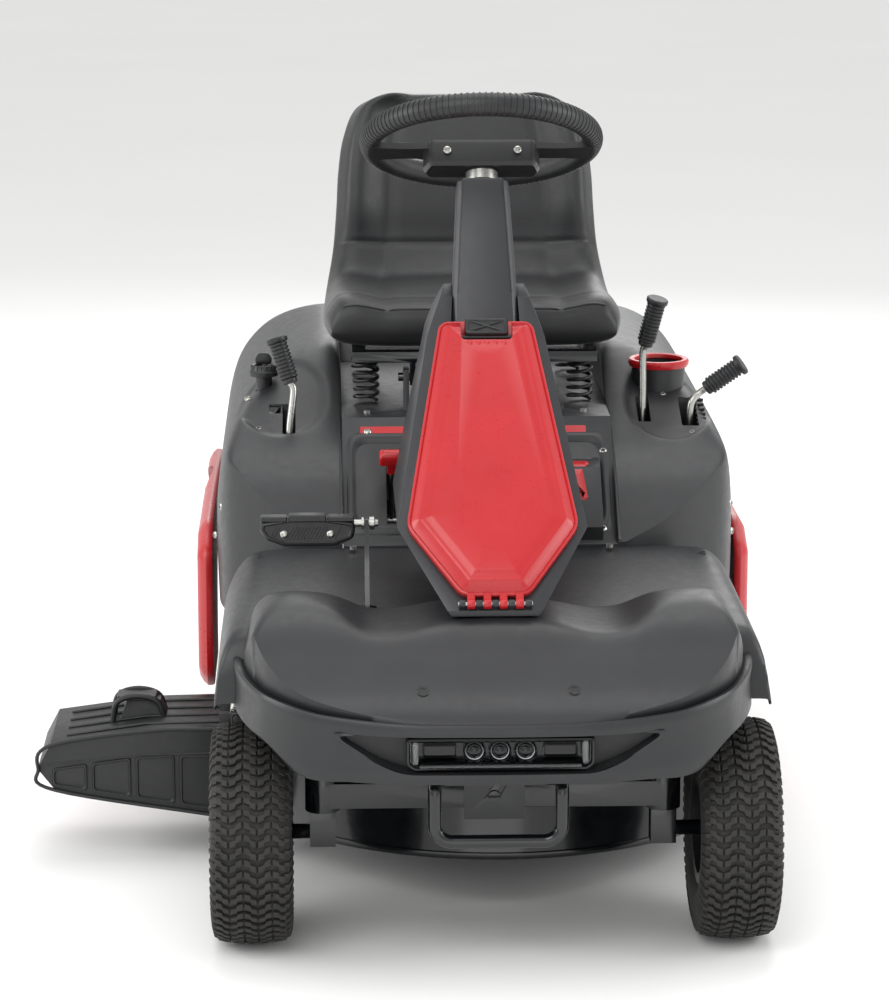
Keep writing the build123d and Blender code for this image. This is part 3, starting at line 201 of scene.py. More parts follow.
def leather_cells(tree):
    """Cells about 2.4 mm across with soft creases, as on embossed vinyl."""
    where = add(tree, "ShaderNodeTexCoord").outputs["Object"]
    cells = add(tree, "ShaderNodeTexVoronoi", {"Vector": where, "Scale": 1000 / 2.4,
                                               "Randomness": 1.0}, feature="DISTANCE_TO_EDGE")
    return spread(tree, cells.outputs["Distance"], 0, 1, 0.0, 0.22)


# %% [markdown]
# ### The mouldings
# The body is injection-moulded polypropylene with a fine spark-eroded texture: nearly black,
# satin, with soft broad highlights. The grain of such a texture is about 0.3 mm, too fine to
# show here, so it is drawn 1 mm wide. The console is the same plastic, a shade lighter.

# %% Moulded plastics
body_plastic = finish("moulded polypropylene, charcoal", "#1e1f21", "#232426", (0.36, 0.47),
                      1.0, 0.05, IOR=1.49)
console_plastic = finish("moulded polypropylene, slate", "#232427", "#28292c", (0.34, 0.44),
                         1.0, 0.045, IOR=1.49)
lid_plastic = finish("red ABS, polished tool", "#b0161d", "#a81319", (0.26, 0.33),
                     1.6, 0.012, 90, IOR=1.53)
black_plastic = finish("glass-filled nylon, black", "#0f1011", "#141516", (0.38, 0.5),
                       0.9, 0.04, 30, IOR=1.53)
gloss_plastic = finish("polished black acrylic", "#08090a", "#0c0d0f", (0.06, 0.12),
                       6.0, 0.004, 40, IOR=1.49)
chute_plastic = finish("moulded polyethylene, dark grey", "#18191a", "#1e1f20", (0.42, 0.55),
                       1.2, 0.06, 45, IOR=1.51)
tank_plastic = finish("blow-moulded polyethylene, natural", "#dcdccf", "#d2d2c3", (0.45, 0.55),
                      2.0, 0.05, 50, IOR=1.51, Subsurface_Weight=0.2)

# %% [markdown]
# ### Rubber and vinyl
# Tyres are carbon-black rubber with a dull bloom, so they are rough and slightly brown. Grips
# are a smoother thermoplastic rubber. The seat is embossed vinyl over foam: its leather-like
# cells are drawn at 2.4 mm, and a faint sheen lifts its edges.

# %% Rubber and vinyl
tyre_rubber = finish("tyre rubber, bloomed", "#1a1918", "#242220", (0.62, 0.8), 1.4, 0.08, 25,
                     IOR=1.52)
grip_rubber = finish("thermoplastic rubber grip", "#161719", "#1e1f21", (0.4, 0.52), 0.8, 0.05,
                     20, IOR=1.5)
belt_rubber = finish("wrapped V-belt", "#17171a", "#202023", (0.7, 0.85), 1.0, 0.1, 15, IOR=1.52)
seat_vinyl = finish("embossed vinyl, black", "#141517", "#191a1c", (0.36, 0.46), 2.4, 0.09, 80,
                    height=leather_cells, IOR=1.5, Sheen_Weight=0.08, Sheen_Roughness=0.4)

# %% [markdown]
# ### Metals and paint
# The deck and frame are powder coated black, which leaves a fine orange peel about 3 mm across.
# Rods and screws are zinc plated: a pale, slightly warm metal with cloudy reflections. Castings
# are sand-blasted aluminium.

# %% Metals and paint
deck_paint = finish("powder coat, gloss black", "#0b0d10", "#0e1013", (0.14, 0.24), 3.2, 0.03, 70,
                    IOR=1.5, Coat_Weight=0.3, Coat_Roughness=0.08)
rim_paint = finish("powder coat, graphite", "#1f2022", "#252628", (0.28, 0.38), 2.8, 0.03, 40,
                   IOR=1.5)
zinc = finish("zinc-plated steel", "#b9b8b2", "#a3a39f", (0.24, 0.4), 1.2, 0.01, 14, Metallic=1.0)
blade_steel = finish("ground spring steel", "#7d7e80", "#6a6a6c", (0.3, 0.5), 0.8, 0.03, 20,
                     Metallic=1.0)
cast_alloy = finish("sand-cast aluminium", "#8f9092", "#838486", (0.45, 0.6), 1.6, 0.12, 30,
                    Metallic=1.0)
lens_clear = finish("clear polycarbonate", "#f4f6f8", "#eef1f4", (0.02, 0.05), 9.0, 0.003, 50,
                    IOR=1.58, Transmission_Weight=0.96)
lamp_mirror = finish("vacuum-metallised reflector", "#d9dbde", "#cfd2d6", (0.08, 0.14), 4.0,
                     0.004, 20, Metallic=1.0)
floor_paint = finish("matt studio floor", "#f1f1f0", "#efefee", (0.7, 0.8), 8.0, 0.02, 900,
                     IOR=1.45)
floor.data.materials.append(floor_paint)
slot_material = {
    "moulded_charcoal": body_plastic, "console_grey": console_plastic, "red_plastic": lid_plastic,
    "black_plastic": black_plastic, "gloss_black_plastic": gloss_plastic,
    "clear_lens": lens_clear, "black_paint": deck_paint, "zinc_steel": zinc,
    "cast_alloy": cast_alloy, "tyre_rubber": tyre_rubber,
    "belt_rubber": belt_rubber, "rim_paint": rim_paint,
    "seat_vinyl": seat_vinyl, "tank_plastic": tank_plastic, "blade_steel": blade_steel}
print(len(bpy.data.materials), "materials")

# %% [markdown]
# ## Making meshes
# A few small tools make nearly every piece. `piece` turns points and faces into an object that
# rides on a body. `skin` joins rings of points into a tube or a dome. `stacked` raises an
# outline through a list of insets and heights, which is how a moulded cover with chamfers and
# raised borders is built. `turned` spins a profile round an axis.

# %% Mesh helpers
def piece(name, points, faces, material, body, slot, replaces=(), sharp=35):
    """A mesh piece on a body. Its points are in metres, and edges sharper than sharp stay."""
    mesh = bpy.data.meshes.new(name)
    mesh.from_pydata([tuple(p) for p in points], [], faces)
    work = bmesh.new()
    work.from_mesh(mesh)
    bmesh.ops.remove_doubles(work, verts=work.verts, dist=1e-6)
    bmesh.ops.recalc_face_normals(work, faces=work.faces)
    work.to_mesh(mesh)
    work.free()
    return dressed(name, mesh, material, body, replaces, sharp)


def dressed(name, mesh, material, body, replaces=(), sharp=35):
    """A finished mesh as an object with its material, on its body."""
    mesh.materials.clear()
    mesh.materials.append(material)
    mesh.shade_smooth()
    mesh.set_sharp_from_angle(angle=math.radians(sharp))
    obj = bpy.data.objects.new(name, mesh)
    bpy.context.scene.collection.objects.link(obj)
    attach(obj, body)
    if replaces:
        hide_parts(*replaces)
    return obj


def skin(rings, closed=True, caps=True):
    """Faces over equal rings of points, one ring after another."""
    count = len(rings[0])
    points = [p for ring in rings for p in ring]
    faces = []
    span = count if closed else count - 1
    for i in range(len(rings) - 1):
        for j in range(span):
            k = (j + 1) % count
            faces.append((i * count + j, i * count + k, (i + 1) * count + k, (i + 1) * count + j))
    if caps:
        faces.append(tuple(range(count - 1, -1, -1)))
        last = (len(rings) - 1) * count
        faces.append(tuple(range(last, last + count)))
    return points, faces


def joined(parts):
    """Several (points, faces) as one."""
    points, faces = [], []
    for more_points, more_faces in parts:
        base = len(points)
        points.extend(more_points)
        faces.extend(tuple(base + i for i in face) for face in more_faces)
    return points, faces


def baked(obj):
    """The object's modifiers turned into its mesh."""
    graph = bpy.context.evaluated_depsgraph_get()
    mesh = bpy.data.meshes.new_from_object(obj.evaluated_get(graph))
    obj.modifiers.clear()
    obj.data = mesh
    return obj


def eased(node, radius_mm, material=None, segments=2, angle=30, drop=None):
    """A node's shape with its edges rounded, as a moulding or a casting has them."""
    work = bmesh.new()
    work.from_mesh(nodes[node].data)
    bmesh.ops.remove_doubles(work, verts=work.verts, dist=1e-6)
    if drop:
        gone = [v for v in work.verts if drop(v.co)]
        bmesh.ops.delete(work, geom=gone, context="VERTS")
    bmesh.ops.dissolve_limit(work, angle_limit=math.radians(2), verts=work.verts,
                             edges=work.edges)
    mesh = bpy.data.meshes.new(node + "_shape")
    work.to_mesh(mesh)
    work.free()
    slot = slot_of_node[node]
    obj = dressed(node + "_moulding", mesh, material or slot_material[slot], body_of_node[node],
                  (node,), angle)
    bevel = obj.modifiers.new("round", "BEVEL")
    bevel.width = radius_mm / 1000
    bevel.segments = segments
    bevel.limit_method = "ANGLE"
    bevel.angle_limit = math.radians(angle)
    baked(obj)
    obj.data.shade_smooth()
    obj.data.set_sharp_from_angle(angle=math.radians(angle + 10))
    print(node, "eased to", len(obj.data.polygons), "faces")
    return obj


# %% [markdown]
# Outlines: a maker draws a plate by its corners and rounds them. `rounded` puts an arc at each
# corner and `inset` moves every side inwards, so one drawing gives the foot, the shoulder and
# the top of a cover. Both keep the same number of points, so their rings can be joined.

# %% Outline helpers
def inset(corners, distance):
    """A convex or gently concave outline with each side moved inwards, anticlockwise."""
    out = []
    count = len(corners)
    for i in range(count):
        before, here, after = (Vector(corners[(i + k) % count]) for k in (-1, 0, 1))
        first = (here - before).normalized()
        second = (after - here).normalized()
        turn = 1 + first.dot(second)
        normal = Vector((-first.y - second.y, first.x + second.x))
        out.append(here + normal * (distance / turn))
    return out


def rounded(corners, radius, steps=4):
    """The outline with an arc of steps + 1 points at each corner."""
    out = []
    count = len(corners)
    for i in range(count):
        before, here, after = (Vector(corners[(i + k) % count]) for k in (-1, 0, 1))
        reach = min(radius, 0.45 * (before - here).length, 0.45 * (after - here).length)
        start = here + (before - here).normalized() * reach
        stop = here + (after - here).normalized() * reach
        for k in range(steps + 1):
            t = k / steps
            out.append(start * (1 - t) ** 2 + here * 2 * t * (1 - t) + stop * t ** 2)
    return out


def stacked(corners, levels, put, radius=6, steps=4):
    """Rings of an outline at each (inset, height), skinned. put(x, y, height) places a point."""
    rings = []
    for distance, height in levels:
        ring = rounded(inset(corners, distance), max(radius - distance, 0.8), steps)
        rings.append([put(p.x, p.y, height) for p in ring])
    return skin(rings)


def mirrored(half):
    """A right half, given from the bottom up for x > 0, made a whole anticlockwise outline."""
    return [*half, *[(-x, y) for x, y in reversed(half)]]


def turned(profile, origin, axis, count=32, caps=True):
    """A profile of (along, radius) in mm spun round an axis through a point in metres."""
    axis = Vector(axis).normalized()
    side = axis.orthogonal().normalized()
    other = axis.cross(side)
    rings = []
    for along, radius in profile:
        rings.append([origin + axis * (along / 1000)
                      + (side * math.cos(2 * math.pi * k / count)
                         + other * math.sin(2 * math.pi * k / count)) * (radius / 1000)
                      for k in range(count)])
    return skin(rings, caps=caps)


def tube(route, radius_mm, count=12, close=False):
    """A round bar along points in metres, with an even frame carried along it."""
    rings = []
    total = len(route)
    side = None
    for i, here in enumerate(route):
        before = route[i - 1] if i or close else here
        after = route[(i + 1) % total] if i < total - 1 or close else here
        along = (after - before).normalized()
        if side is None:
            side = along.orthogonal().normalized()
        side = (side - along * side.dot(along)).normalized()
        other = along.cross(side)
        rings.append([here + (side * math.cos(2 * math.pi * k / count)
                              + other * math.sin(2 * math.pi * k / count)) * (radius_mm / 1000)
                      for k in range(count)])
    if close:
        rings.append(rings[0])
    return skin(rings, caps=not close)


def smooth_route(points, per_span=8):
    """A Catmull-Rom line through points."""
    ends = [points[0] * 2 - points[1], *points, points[-1] * 2 - points[-2]]
    out = []
    for i in range(1, len(ends) - 2):
        a, b, c, d = ends[i - 1:i + 3]
        for k in range(per_span):
            t = k / per_span
            out.append(0.5 * (2 * b + (c - a) * t + (2 * a - 5 * b + 4 * c - d) * t * t
                              + (3 * b - a - 3 * c + d) * t ** 3))
    out.append(points[-1].copy())
    return out


# %% [markdown]
# ## Repeats with Geometry Nodes
# Screws, ribs, tyre lugs and slots are one small shape repeated. Two node trees do all of it:
# one sets copies round an axis, the other sets a copy on each given point, turned to face the
# way that the point's own "facing" says. Both end in Realize Instances and Set Material.

# %% The two repeating trees
def repeat_tree(kind):
    """The node tree for a ring of copies or for copies on points."""
    tree = bpy.data.node_groups.new("repeat_" + kind, "GeometryNodeTree")
    face = tree.interface
    face.new_socket("Geometry", in_out="INPUT", socket_type="NodeSocketGeometry")
    face.new_socket("Shape", in_out="INPUT", socket_type="NodeSocketObject")
    face.new_socket("Material", in_out="INPUT", socket_type="NodeSocketMaterial")
    face.new_socket("Count", in_out="INPUT", socket_type="NodeSocketInt")
    face.new_socket("Geometry", in_out="OUTPUT", socket_type="NodeSocketGeometry")
    given = add(tree, "NodeGroupInput")
    shape = add(tree, "GeometryNodeObjectInfo", {"Object": given.outputs["Shape"]},
                transform_space="ORIGINAL")
    if kind == "ring":
        points = add(tree, "GeometryNodeMeshLine", {"Count": given.outputs["Count"],
                                                    "Offset": (0, 0, 0)}).outputs["Mesh"]
        index = add(tree, "GeometryNodeInputIndex").outputs["Index"]
        share = add(tree, "ShaderNodeMath", {0: index, 1: given.outputs["Count"]},
                    operation="DIVIDE")
        angle = add(tree, "ShaderNodeMath", {0: share.outputs[0], 1: 2 * math.pi},
                    operation="MULTIPLY")
        turn = add(tree, "ShaderNodeCombineXYZ", {"Z": angle.outputs[0]}).outputs["Vector"]
    else:
        points = given.outputs["Geometry"]
        facing = add(tree, "GeometryNodeInputNamedAttribute", {"Name": "facing"},
                     data_type="FLOAT_VECTOR").outputs["Attribute"]
        turn = add(tree, "FunctionNodeAlignEulerToVector", {"Vector": facing},
                   axis="Z").outputs["Rotation"]
    copies = add(tree, "GeometryNodeInstanceOnPoints", {
        "Points": points, "Instance": shape.outputs["Geometry"], "Rotation": turn})
    solid = add(tree, "GeometryNodeRealizeInstances", {"Geometry": copies.outputs["Instances"]})
    painted = add(tree, "GeometryNodeSetMaterial", {"Geometry": solid.outputs["Geometry"],
                                                    "Material": given.outputs["Material"]})
    add(tree, "NodeGroupOutput", {"Geometry": painted.outputs["Geometry"]})
    return tree


ring_tree = repeat_tree("ring")
point_tree = repeat_tree("points")


def repeated(name, tree, shape, points, facings, count, material, move=None):
    """The mesh that a repeating tree makes of a (points, faces) shape. move places it."""
    template = bpy.data.meshes.new(name + "_one")
    template.from_pydata([tuple(p) for p in shape[0]], [], shape[1])
    work = bmesh.new()
    work.from_mesh(template)
    bmesh.ops.remove_doubles(work, verts=work.verts, dist=1e-6)
    bmesh.ops.recalc_face_normals(work, faces=work.faces)
    work.to_mesh(template)
    work.free()
    template.shade_smooth()
    template.set_sharp_from_angle(angle=math.radians(35))
    one = bpy.data.objects.new(name + "_one", template)
    base = bpy.data.meshes.new(name + "_points")
    base.from_pydata([tuple(p) for p in points], [], [])
    if facings:
        attribute = base.attributes.new("facing", "FLOAT_VECTOR", "POINT")
        for i, facing in enumerate(facings):
            attribute.data[i].vector = facing
    carrier = bpy.data.objects.new(name + "_carrier", base)
    bpy.context.scene.collection.objects.link(one)
    bpy.context.scene.collection.objects.link(carrier)
    modifier = carrier.modifiers.new("repeat", "NODES")
    modifier.node_group = tree
    sockets = {item.name: item.identifier for item in tree.interface.items_tree
               if item.in_out == "INPUT"}
    modifier[sockets["Shape"]] = one
    modifier[sockets["Material"]] = material
    modifier[sockets["Count"]] = count
    graph = bpy.context.evaluated_depsgraph_get()
    mesh = bpy.data.meshes.new_from_object(carrier.evaluated_get(graph))
    mesh.name = name
    if move:
        mesh.transform(move)
    carrier.modifiers.clear()
    bpy.data.objects.remove(carrier)
    bpy.data.objects.remove(one)
    return mesh


def ring_of(name, shape, count, origin, axis, material):
    """Copies of a shape round an axis. The shape stands beside the Z axis of its drawing."""
    turn = Vector((0, 0, 1)).rotation_difference(Vector(axis).normalized()).to_matrix().to_4x4()
    return repeated(name, ring_tree, shape, [(0, 0, 0)], None, count, material,
                    Matrix.Translation(origin) @ turn)


def scattered(name, shape, points, facings, material):
    """A copy of a shape on each point, its Z axis along that point's facing."""
    return repeated(name, point_tree, shape, points, facings, len(points), material)


# %% [markdown]
# ## The mouldings and metalwork
# Most covers already have the right shape in the measured model, but every edge of it is a
# perfect corner. A moulding tool leaves a small radius everywhere, and that radius is what
# catches the light, so each visible part is copied and its edges are rounded.

# %% Round the edges of the measured parts
EASED_MM = {"seat_riser": 3.0, "rear_cover": 1.5,
            "console_body": 3.0, "discharge_chute": 2.0, "main_frame": 0.8, "front_axle": 1.5,
            "left_spindle": 1.5, "right_spindle": 1.5, "tie_rod": 0.8, "drag_link": 0.8,
            "deck_shell": 1.0, "engine_shroud": 3.0, "engine_block": 1.5, "transaxle": 4.0,
            "mower_blade": 0.6, "fuel_cap": 1.0}
for node, radius in EASED_MM.items():
    eased(node, radius, chute_plastic if node == "discharge_chute" else None)

# %% [markdown]
# ## The seat
# One high-backed shell of foam under vinyl. Its side view is a bent line, and the pad has a
# thickness about that line that thins at its rim, so the cover is a pillow bent to an L. The
# bolsters at the sides and top swell forwards, and sewn lines pull in between them.

# %% Seat
SEAT_LINE = [(58, 682, 62), (110, 690, 62), (200, 682, 58), (290, 684, 52), (345, 702, 50),
             (382, 752, 50), (394, 810, 52), (404, 860, 50), (416, 910, 46), (428, 952, 40),
             (434, 972, 30)]
SEAT_HALF = [198, 207, 209, 207, 203, 194, 189, 186, 178, 158, 112]
ACROSS = 56


def along_line(table, t):
    """A smooth value along a table of tuples, t from 0 to 1."""
    rows = [Vector(row) if isinstance(row, tuple) else Vector((row, 0)) for row in table]
    rows = [rows[0] * 2 - rows[1], *rows, rows[-1] * 2 - rows[-2]]
    place = t * (len(rows) - 3)
    i = min(int(place), len(rows) - 4)
    u = place - i
    a, b, c, d = rows[i:i + 4]
    return 0.5 * (2 * b + (c - a) * u + (2 * a - 5 * b + 4 * c - d) * u * u
                  + (3 * b - a - 3 * c + d) * u ** 3)


def ramp(low, high, value):
    """0 below low, 1 above high, smooth between."""
    t = min(max((value - low) / (high - low), 0), 1)
    return t * t * (3 - 2 * t)


def seam(value, centre, width):
    """A rounded groove of depth 1 about a centre."""
    return math.exp(-((value - centre) / width) ** 2)


def seat_surface(s, t, front):
    """A point of the seat's cover: s across from -1 to 1, t from lip to crown."""
    y, z, thick = along_line(SEAT_LINE, t)
    before = along_line(SEAT_LINE, max(t - 0.01, 0))
    after = along_line(SEAT_LINE, min(t + 0.01, 1))
    run = Vector((after[0] - before[0], after[1] - before[1])).normalized()
    out = Vector((-run.y, run.x))
    half = along_line(SEAT_HALF, t)[0]
    rim_x = (1 - min(abs(s), 1) ** 7) ** (1 / 3)
    end = min(t / 0.07, (1 - t) / 0.06, 1)
    rim_t = (1 - (1 - end) ** 2.4) ** (1 / 2.2)
    rise = thick / 2 * rim_x * rim_t
    side = abs(s)
    if front:
        back_rest = ramp(0.5, 0.62, t)
        bolster = ramp(0.60, 0.86, side) * (1 - ramp(0.9, 1.0, side))
        rise += bolster * (11 + 9 * back_rest) * rim_t
        crown = ramp(0.86, 0.94, t) * (1 - ramp(0.96, 1.0, t)) * (1 - ramp(0.8, 1, side))
        rise += 8 * crown
        rise -= 3.5 * seam(side, 0.60, 0.022) * rim_t * (1 - ramp(0.9, 0.95, t))
        rise -= 3.5 * seam(t, 0.5, 0.012) * (1 - ramp(0.93, 1, side))
        rise -= 3.0 * seam(t, 0.87, 0.009) * (1 - ramp(0.6, 0.62, side))
        rise -= 3.0 * seam(t, 0.10, 0.008) * rim_x
        hollow = 1 - (side / 0.6) ** 2 if side < 0.6 else 0
        rise += 5 * hollow * ramp(0.12, 0.3, t) * (1 - ramp(0.42, 0.5, t))
        spot = Vector((y, z)) + out * rise
    else:
        spot = Vector((y, z)) - out * min(rise, thick / 2)
        spot.y = max(spot.y, 656) if t < 0.5 else spot.y
    return at(s * half, spot.x, spot.y)


def seat_mesh():
    """Front and back of the seat as one closed grid round its rim."""
    down = 120
    rings = []
    for i in range(down + 1):
        t = 0.5 - 0.5 * math.cos(math.pi * i / down) if i in (0, down) else i / down
        ring = []
        for j in range(ACROSS + 1):
            ring.append(seat_surface(-math.cos(math.pi * j / ACROSS), t, True))
        for j in range(ACROSS - 1, 0, -1):
            ring.append(seat_surface(-math.cos(math.pi * j / ACROSS), t, False))
        rings.append(ring)
    return skin(rings)


seat = piece("seat_cover", *seat_mesh(), seat_vinyl, "seat", "seat_vinyl", ("seat_cushion",), 60)
print("seat", len(seat.data.polygons), "faces")

# %% [markdown]
# Welt: a thin cord is sewn into the seam under the front lip, and it shows as a fine bright
# line. It follows the seat's own surface.

# %% Seat welt and springs
welt = [seat_surface(s / 30, 0.035, True) + Vector((0, -0.0005, -0.001)) for s in range(-27, 28)]
piece("seat_welt", *tube(welt, 2.0, 8), seat_vinyl, "seat", "seat_vinyl")


def seat_spring(v):
    """Whether a point of the pan node belongs to one of its plain tube springs."""
    return v.z < 0.6399 and abs(abs(v.x - centre_x) - 0.15) < 0.0205


eased("seat_pan", 1.0, drop=seat_spring)
SPRING_TURNS = 5.5
springs = []
for side in (-1, 1):
    for y in (112, 350):
        low, high = 576, 637
        route = []
        for k in range(150):
            turn = SPRING_TURNS * 2 * math.pi * k / 149
            ease = min(k / 14, (149 - k) / 14, 1)
            radius = 14.5 + 2 * ease
            route.append(at(side * 150 + radius * math.cos(turn), y + radius * math.sin(turn),
                            low + (high - low) * k / 149))
        springs.append(tube(route, 2.6, 8))
piece("seat_springs", *joined(springs), black_plastic, "seat", "black_paint")

# %% [markdown]
# ## The steering wheel
# A soft rim moulded round a steel ring, with fine ribs all round its outer face for grip, two
# flat spokes and a deep box hub with two screws. The ribs are one short bar repeated round the
# rim with the ring tree.

# %% Steering wheel
hub_place = at(0, -130, 968)
TILT = math.radians(25.4)
column = Vector((0, math.sin(TILT), math.cos(TILT)))
down_slope = Vector((0, -math.cos(TILT), math.sin(TILT)))
RIM_MID = 146
RIB_COUNT = 120


def on_wheel(x, v, w):
    """A point of the wheel: x across, v towards the front in its plane, w along the column."""
    return hub_place + Vector((x, 0, 0)) / 1000 + down_slope * (v / 1000) + column * (w / 1000)


rings = []
for i in range(128):
    angle = 2 * math.pi * i / 128
    ring = []
    for j in range(24):
        swing = 2 * math.pi * j / 24
        radial = RIM_MID + 13.6 * math.cos(swing)
        ring.append(on_wheel(radial * math.cos(angle), radial * math.sin(angle),
                             15.4 * math.sin(swing)))
    rings.append(ring)
rings.append(rings[0])
piece("steering_rim", *skin(rings, caps=False), grip_rubber, "steering_column",
      "black_plastic", ("steering_wheel",))
rib_rings = []
for k in range(9):
    swing = math.radians(-78 + 156 * k / 8)
    radial = RIM_MID + 12.2 * math.cos(swing)
    lift = 14.0 * math.sin(swing)
    outward = (math.cos(swing), math.sin(swing))
    ring = []
    for across, rise in ((-1.7, 0), (-1.1, 2.4), (1.1, 2.4), (1.7, 0)):
        ring.append(Vector((radial + outward[0] * rise, across, lift + outward[1] * rise)) / 1000)
    rib_rings.append(ring)
ribs = ring_of("steering_ribs", skin(rib_rings), RIB_COUNT, hub_place, column, grip_rubber)
dressed("steering_ribs", ribs, grip_rubber, "steering_column")

hub_outline = [(-70, -30), (70, -30), (78, -8), (70, 27), (-70, 27), (-78, -8)]
hub = stacked(hub_outline, [(4, -41), (0, -36), (0, -12), (3, -6), (12, -3), (14, -5)],
              on_wheel, 9)
spokes = []
for side in (-1, 1):
    section = [(-24, -17), (24, -17), (22, -8), (10, -4.5), (-10, -4.5), (-22, -8)]
    spoke_rings = []
    for x, narrow in ((60, 1.0), (84, 0.86), (108, 0.84), (134, 1.0), (143, 1.12)):
        spoke_rings.append([on_wheel(side * x, v * narrow, w) for v, w in section])
    spokes.append(skin(spoke_rings))
piece("steering_hub", *joined([hub, *spokes]), black_plastic, "steering_column", "black_plastic")
collar = turned([(-78, 14), (-78, 23), (-74, 25), (-60, 25), (-57, 23), (-57, 20), (-44, 19),
                 (-40, 19), (-38, 17), (-20, 16), (-17, 14.5), (-17, 10)], hub_place, column, 40)
piece("steering_collar", *collar, black_plastic, "steering_column", "black_plastic")
screw_shape = turned([(0, 0.1), (0, 5.2), (1.4, 5.0), (2.6, 3.6), (2.9, 2.6), (1.6, 2.2),
                      (1.6, 0.1)], Vector((0, 0, 0)), (0, 0, 1), 16)
hub_screws = scattered("hub_screws", screw_shape,
                       [on_wheel(-46, 30.5, -22), on_wheel(46, 30.5, -22)],
                       [down_slope, down_slope], zinc)
dressed("hub_screws", hub_screws, zinc, "steering_column")
print("steering wheel with", RIB_COUNT, "ribs")

# %% [markdown]
# ## Tyres
# A turf tyre has shallow rubber blocks in five rows, each block bent like a small S, so that it
# grips grass without cutting it. The carcass is one spun profile. One slice of five blocks is
# drawn on the crown and the ring tree sets it round the tyre.

# %% Turf tyres
def tread_slice(tyre_radius, width, pitch, rows=5):
    """Blocks of one pitch across the crown, standing beside the Z axis, Z across the tyre."""
    parts = []
    row_width = width * 0.86 / rows
    for row in range(rows):
        centre = (row - (rows - 1) / 2) * row_width
        sway = -1 if row % 2 else 1
        half = row_width * 0.44
        reach = pitch * 0.50
        line = [(-half, -reach * 0.62), (-half * 0.1, -reach * 0.30), (half * 0.1, reach * 0.30),
                (half, reach * 0.62)]
        thick = pitch * 0.27
        outline = [(z, y - thick) for z, y in line] + [(z, y + thick) for z, y in reversed(line)]
        rings = []
        for rise, shrink in ((-3.0, 1.06), (3.4, 1.0), (4.2, 0.86)):
            ring = []
            for z, y in outline:
                across = centre + z * shrink
                crown = 5.5 * (abs(across) / (width * 0.46)) ** 2.6
                radius = tyre_radius - 4.2 + rise - crown
                angle = sway * y * shrink / tyre_radius
                ring.append(Vector((radius * math.cos(angle), radius * math.sin(angle),
                                    across)) / 1000)
            rings.append(ring)
        parts.append(skin(rings))
    return joined(parts)


def shoulder_slice(tyre_radius, width, pitch):
    """The short bars that run from the outer blocks down the shoulders."""
    parts = []
    for side in (-1, 1):
        rings = []
        for across, down in ((width * 0.40, 6.0), (width * 0.462, 9.5), (width * 0.488, 19),
                             (width * 0.497, 27)):
            radius = tyre_radius - down
            ring = []
            for y, rise in ((-pitch * 0.2, -2.5), (-pitch * 0.16, 1.3), (pitch * 0.16, 1.3),
                            (pitch * 0.2, -2.5)):
                angle = y / tyre_radius
                ring.append(Vector(((radius + rise * 0.6) * math.cos(angle),
                                    (radius + rise * 0.6) * math.sin(angle),
                                    side * (across + rise * 0.5))) / 1000)
            rings.append(ring)
        parts.append(skin(rings))
    return joined(parts)


def turf_tyre(name, diameter, width, rim_diameter, blocks):
    """Carcass, blocks and shoulder bars of one tyre, round its node's own centre."""
    low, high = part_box(name)
    middle = (low + high) / 2
    tread, bead, half = diameter / 2, rim_diameter / 2, width / 2
    profile = []
    for along, radius in ((-half * 0.76, bead + 0.4), (-half * 0.82, bead + 7),
                          (-half * 0.86, bead + 9), (-half * 0.955, bead + 20),
                          (-half * 0.965, bead + 22), (-half * 0.99, bead + 0.5 * (tread - bead)),
                          (-half * 0.975, tread - 24), (-half * 0.92, tread - 13),
                          (-half * 0.8, tread - 8), (-half * 0.5, tread - 5.6), (0, tread - 4.6)):
        profile.append((along, radius))
    profile += [(-along, radius) for along, radius in reversed(profile[:-1])]
    profile += [(half * 0.70, bead + 0.4), (-half * 0.70, bead + 0.4), profile[0]]
    body = body_of_node[name]
    piece(name + "_carcass", *turned(profile, middle, (1, 0, 0), 96, caps=False), tyre_rubber,
          body, "tyre_rubber", (name,), 50)
    pitch = math.pi * diameter / blocks
    for word, shape in (("blocks", tread_slice(tread, width, pitch)),
                        ("shoulders", shoulder_slice(tread, width, pitch))):
        mesh = ring_of(name + "_" + word, shape, blocks, middle, (1, 0, 0), tyre_rubber)
        dressed(name + "_" + word, mesh, tyre_rubber, body)


for word in ("left", "right"):
    turf_tyre("front_" + word + "_tyre", 280, 102, 127, 56)
    turf_tyre("rear_" + word + "_tyre", 381, 152, 152, 48)
print("four tyres")

# %% [markdown]
# ## Levers
# Each control lever is a zinc-plated rod with a ribbed rubber grip and a flat button end. The
# ribs are rings with a rounded edge, spun in one profile with the grip.

# %% Levers
def grip_profile(length, radius, pitch=5.2):
    """A grip along its axis: a collar, rounded ribs and a flat flanged cap."""
    profile = [(0, 4.6), (0, radius - 3.5), (3, radius - 2.5), (6, radius - 3)]
    along = 7
    while along < length - 9:
        profile += [(along, radius - 2.2), (along + 0.7, radius - 0.3),
                    (along + 2.0, radius), (along + 3.3, radius - 0.3), (along + 4.0, radius - 2.2)]
        along += pitch
    profile += [(length - 7.5, radius - 2), (length - 7, radius + 1.5), (length - 5.5, radius + 2.2),
                (length - 1.5, radius + 2.2), (length, radius + 0.8), (length, 0.2)]
    return profile


